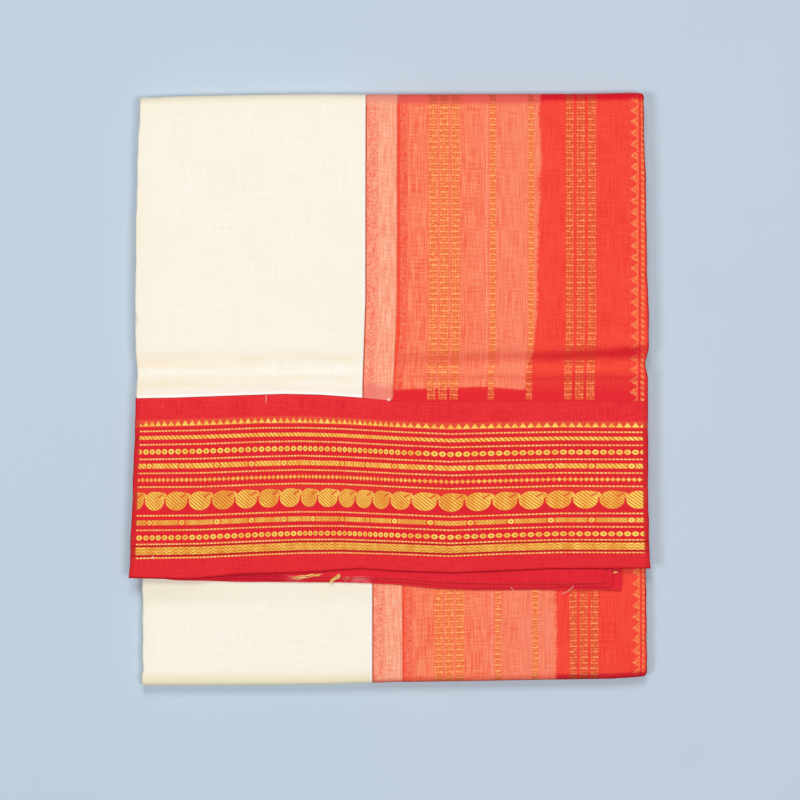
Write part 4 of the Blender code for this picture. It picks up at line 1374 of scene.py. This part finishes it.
# Loose threads: third, how far the middle lifts, then x, y along each
LOOSE_THREADS = (
    ("lower", 3.2, (118.7, -142.6), (122.4, -140.8), (126.6, -137.4), (128.4, -134.2)),
    ("lower", 2.6, (82.0, -136.6), (84.6, -139.0), (86.3, -140.8)),
    ("flap", 0.2, (-85.6, -5.0), (-85.2, -8.0), (-85.5, -11.0)),
    ("flap", 0.3, (-163.5, -116.1), (-163.7, -116.8), (-163.8, -117.6)),
    ("flap", 0.3, (-163.8, -116.0), (-164.0, -116.8), (-164.1, -117.5)),
    ("flap", 0.3, (-163.2, -116.2), (-163.4, -116.9), (-163.5, -117.7)),
    ("flap", 0.1, (-157.6, -13.0), (-157.2, -13.2), (-156.9, -13.1)),
)
STRAND_POINTS = 7
STRAND_FLATNESS = 0.45
THREAD_RADIUS = 0.13
GOLD_RADIUS = 0.15
PALE_RADIUS = 0.14


def cloth_top(x, y, third):
    """Height of the cloth's upper face on the flap or on the lower third."""
    if third == "flap":
        return (FLAP_TOP + wrinkled(x, y, TOP_WRINKLES)) * swell(x, y)
    return (LOWER_TOP + wrinkled(x, y, LOW_WRINKLES)) * swell(x, y)


def strands(name, paths, radius, material, values):
    """Three-sided tubes along many short paths at once. paths is strands by points by 3;
    each ring is the point plus radius times (side cos a + flatness up sin a)."""
    count, points, _ = paths.shape
    along = np.gradient(paths, axis=1)
    along /= np.linalg.norm(along, axis=2, keepdims=True)
    side = np.cross(along, (0.0, 0.0, 1.0))
    side /= np.maximum(np.linalg.norm(side, axis=2, keepdims=True), 1e-6)
    up = np.cross(side, along) * STRAND_FLATNESS
    angles = np.radians((90.0, 210.0, 330.0))[:, None]
    taper = np.interp(np.linspace(0, 1, points), (0, 0.15, 0.8, 1), (0.8, 1, 0.9, 0.35))
    ring = side[:, :, None] * np.cos(angles) + up[:, :, None] * np.sin(angles)
    rings = paths[:, :, None] + radius * taper[:, None, None] * ring
    faces = []
    for strand in range(count):
        faces += ring_faces(points, 3, strand * points * 3)
    marks = {"shade": np.repeat(values, points * 3)}
    piece = add_solid_piece(name, rings, faces, material, {}, marks)
    piece.data.shade_flat()
    return piece


def thread_finish(name, dark, light, roughness):
    """Spun thread: its shade changes from strand to strand, between two colours."""
    thread = Finish(name, Roughness=roughness, Specular_IOR_Level=0.15)
    spot = thread.node("ShaderNodeTexCoord", {}, output=3)
    fleck = thread.node("ShaderNodeTexNoise", {}, {"Vector": spot, "Scale": 1500.0})
    shade = thread.mark("shade") * 0.75 + fleck * 0.25
    thread.drive(Base_Color=thread.mix(shade, dye(*dark), dye(*light)))
    return thread.material


def fringe_paths(rng, third, low, high, column, offset, length, count):
    """Curled threads along a seam: each runs out, bends to one side and may hook back."""
    root_y = np.sort(rng.uniform(low, high, count))
    table = FLAP_SEAMS if third == "flap" else LOWER_SEAMS
    root_x = across_at(table, root_y, column) + offset + rng.uniform(-0.3, 1.4, count)
    reach = length * rng.uniform(0.45, 1.15, count)
    turn = rng.normal(0.0, 0.35, count)
    curl = rng.normal(0.0, 1.3, count)
    t = np.linspace(0, 1, STRAND_POINTS)
    angle = turn[:, None] + curl[:, None] * t ** 1.5
    step = reach[:, None] / (STRAND_POINTS - 1)
    x = root_x[:, None] + np.cumsum(step * np.cos(angle), axis=1)
    y = root_y[:, None] + np.cumsum(step * np.sin(angle), axis=1)
    z = cloth_top(x, y, third) + THREAD_RADIUS * 0.6
    return np.stack((x, y, z), axis=-1)


def loose_path(third, lift, *points):
    """A thread through a few places on the cloth, smoothed, with its middle lifted."""
    points = np.array(points)
    t = np.linspace(0, 1, len(points))
    fine = np.linspace(0, 1, STRAND_POINTS * 2)
    x = np.interp(fine, t, points[:, 0])
    y = np.interp(fine, t, points[:, 1])
    for _ in range(2):
        x[1:-1] = (x[:-2] + 2 * x[1:-1] + x[2:]) / 4
        y[1:-1] = (y[:-2] + 2 * y[1:-1] + y[2:]) / 4
    z = cloth_top(x, y, third) + THREAD_RADIUS + lift * np.sin(np.pi * fine)
    return np.stack((x, y, z), axis=-1)


def tuft_paths(rng, x0, y0, x1, y1, run, root_spread, tip_spread, length, count):
    """Thread ends that run roughly side by side, each a little bent, just above the plies."""
    reach = np.hypot(x1 - x0, y1 - y0)
    ahead = np.array((x1 - x0, y1 - y0)) / reach
    t = np.linspace(0, 1, STRAND_POINTS)
    start = rng.uniform(-run, run, count)[:, None]
    along = start + t * length * rng.uniform(0.8, 1.1, count)[:, None]
    spread = root_spread + (tip_spread - root_spread) * np.clip(along / reach, 0, 1)
    off = rng.uniform(-1, 1, count)[:, None] * spread
    off = off + 0.25 * np.sin(along * 0.9 + 5 * off[:, :1])
    x = x0 + along * ahead[0] - off * ahead[1]
    y = y0 + along * ahead[1] + off * ahead[0]
    level = FLAP_TOP - PLY_PITCH + 0.25 - 0.35 * np.clip(-130.0 - y, 0, 6)
    z = level * swell(x, y) + 0.3 * rng.uniform(0, 1, count)[:, None]
    return np.stack((x, y, z), axis=-1)


def add_threads():
    """All fringes, the gold ends and the loose threads."""
    rng = np.random.default_rng(7)
    fringe = [fringe_paths(rng, *entry) for entry in FRINGES]
    fringe = np.concatenate(fringe + [tuft_paths(rng, *tuft) for tuft in CORAL_TUFTS])
    coral = strands("fringe_threads", fringe, THREAD_RADIUS,
                    thread_finish("fringe_thread", (242, 100, 80), (255, 168, 142), roughness=0.8),
                    rng.uniform(0, 1, len(fringe)))

    gold_paths = np.concatenate([tuft_paths(rng, *tuft) for tuft in GOLD_TUFTS])
    gold = strands("gold_ends", gold_paths, GOLD_RADIUS,
                   thread_finish("gold_thread", (248, 166, 60), (255, 255, 172), roughness=0.6),
                   rng.uniform(0, 1, len(gold_paths)))

    pale_paths = np.stack([loose_path(*entry) for entry in LOOSE_THREADS])
    pale = strands("loose_threads", pale_paths, PALE_RADIUS,
                   thread_finish("pale_thread", (250, 214, 206), (255, 244, 236), roughness=0.7),
                   rng.uniform(0.5, 1, len(pale_paths)))
    for piece, slot in ((coral, "coral_cloth"), (gold, "border_silk"), (pale, "cream_cotton")):
        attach(piece, "root")


add_threads()


# The knot. A small ball of pale cotton thread: one end of the joining thread, tied off at the
# strip's lower right corner.

KNOT = (-0.9, -8.1)
KNOT_RADIUS = 0.9
KNOT_FLATNESS = 0.55
KNOT_LIFT = 0.35


def add_knot():
    """A small ball of thread: a sphere whose radius ripples as two crossed sines."""
    around, down = np.meshgrid(np.linspace(0, 2 * np.pi, 25)[:-1], np.linspace(0, np.pi, 14))
    reach = KNOT_RADIUS * (1 + 0.12 * np.sin(3 * around + 5 * down) * np.sin(down))
    x = KNOT[0] + reach * np.sin(down) * np.cos(around)
    y = KNOT[1] + reach * np.sin(down) * np.sin(around)
    level = cloth_top(np.array(KNOT[0]), np.array(KNOT[1]), "flap")
    z = level + KNOT_LIFT + KNOT_FLATNESS * reach * np.cos(down)
    piece = add_solid_piece("knot", np.stack((x, y, z), axis=-1), ring_faces(*around.shape, 0),
                            thread_finish("knot_thread", (250, 226, 220), (255, 250, 246),
                                          roughness=0.8),
                            {}, {"shade": np.full(around.shape, 0.8)}, weld=0.01)
    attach(piece, "root")


add_knot()
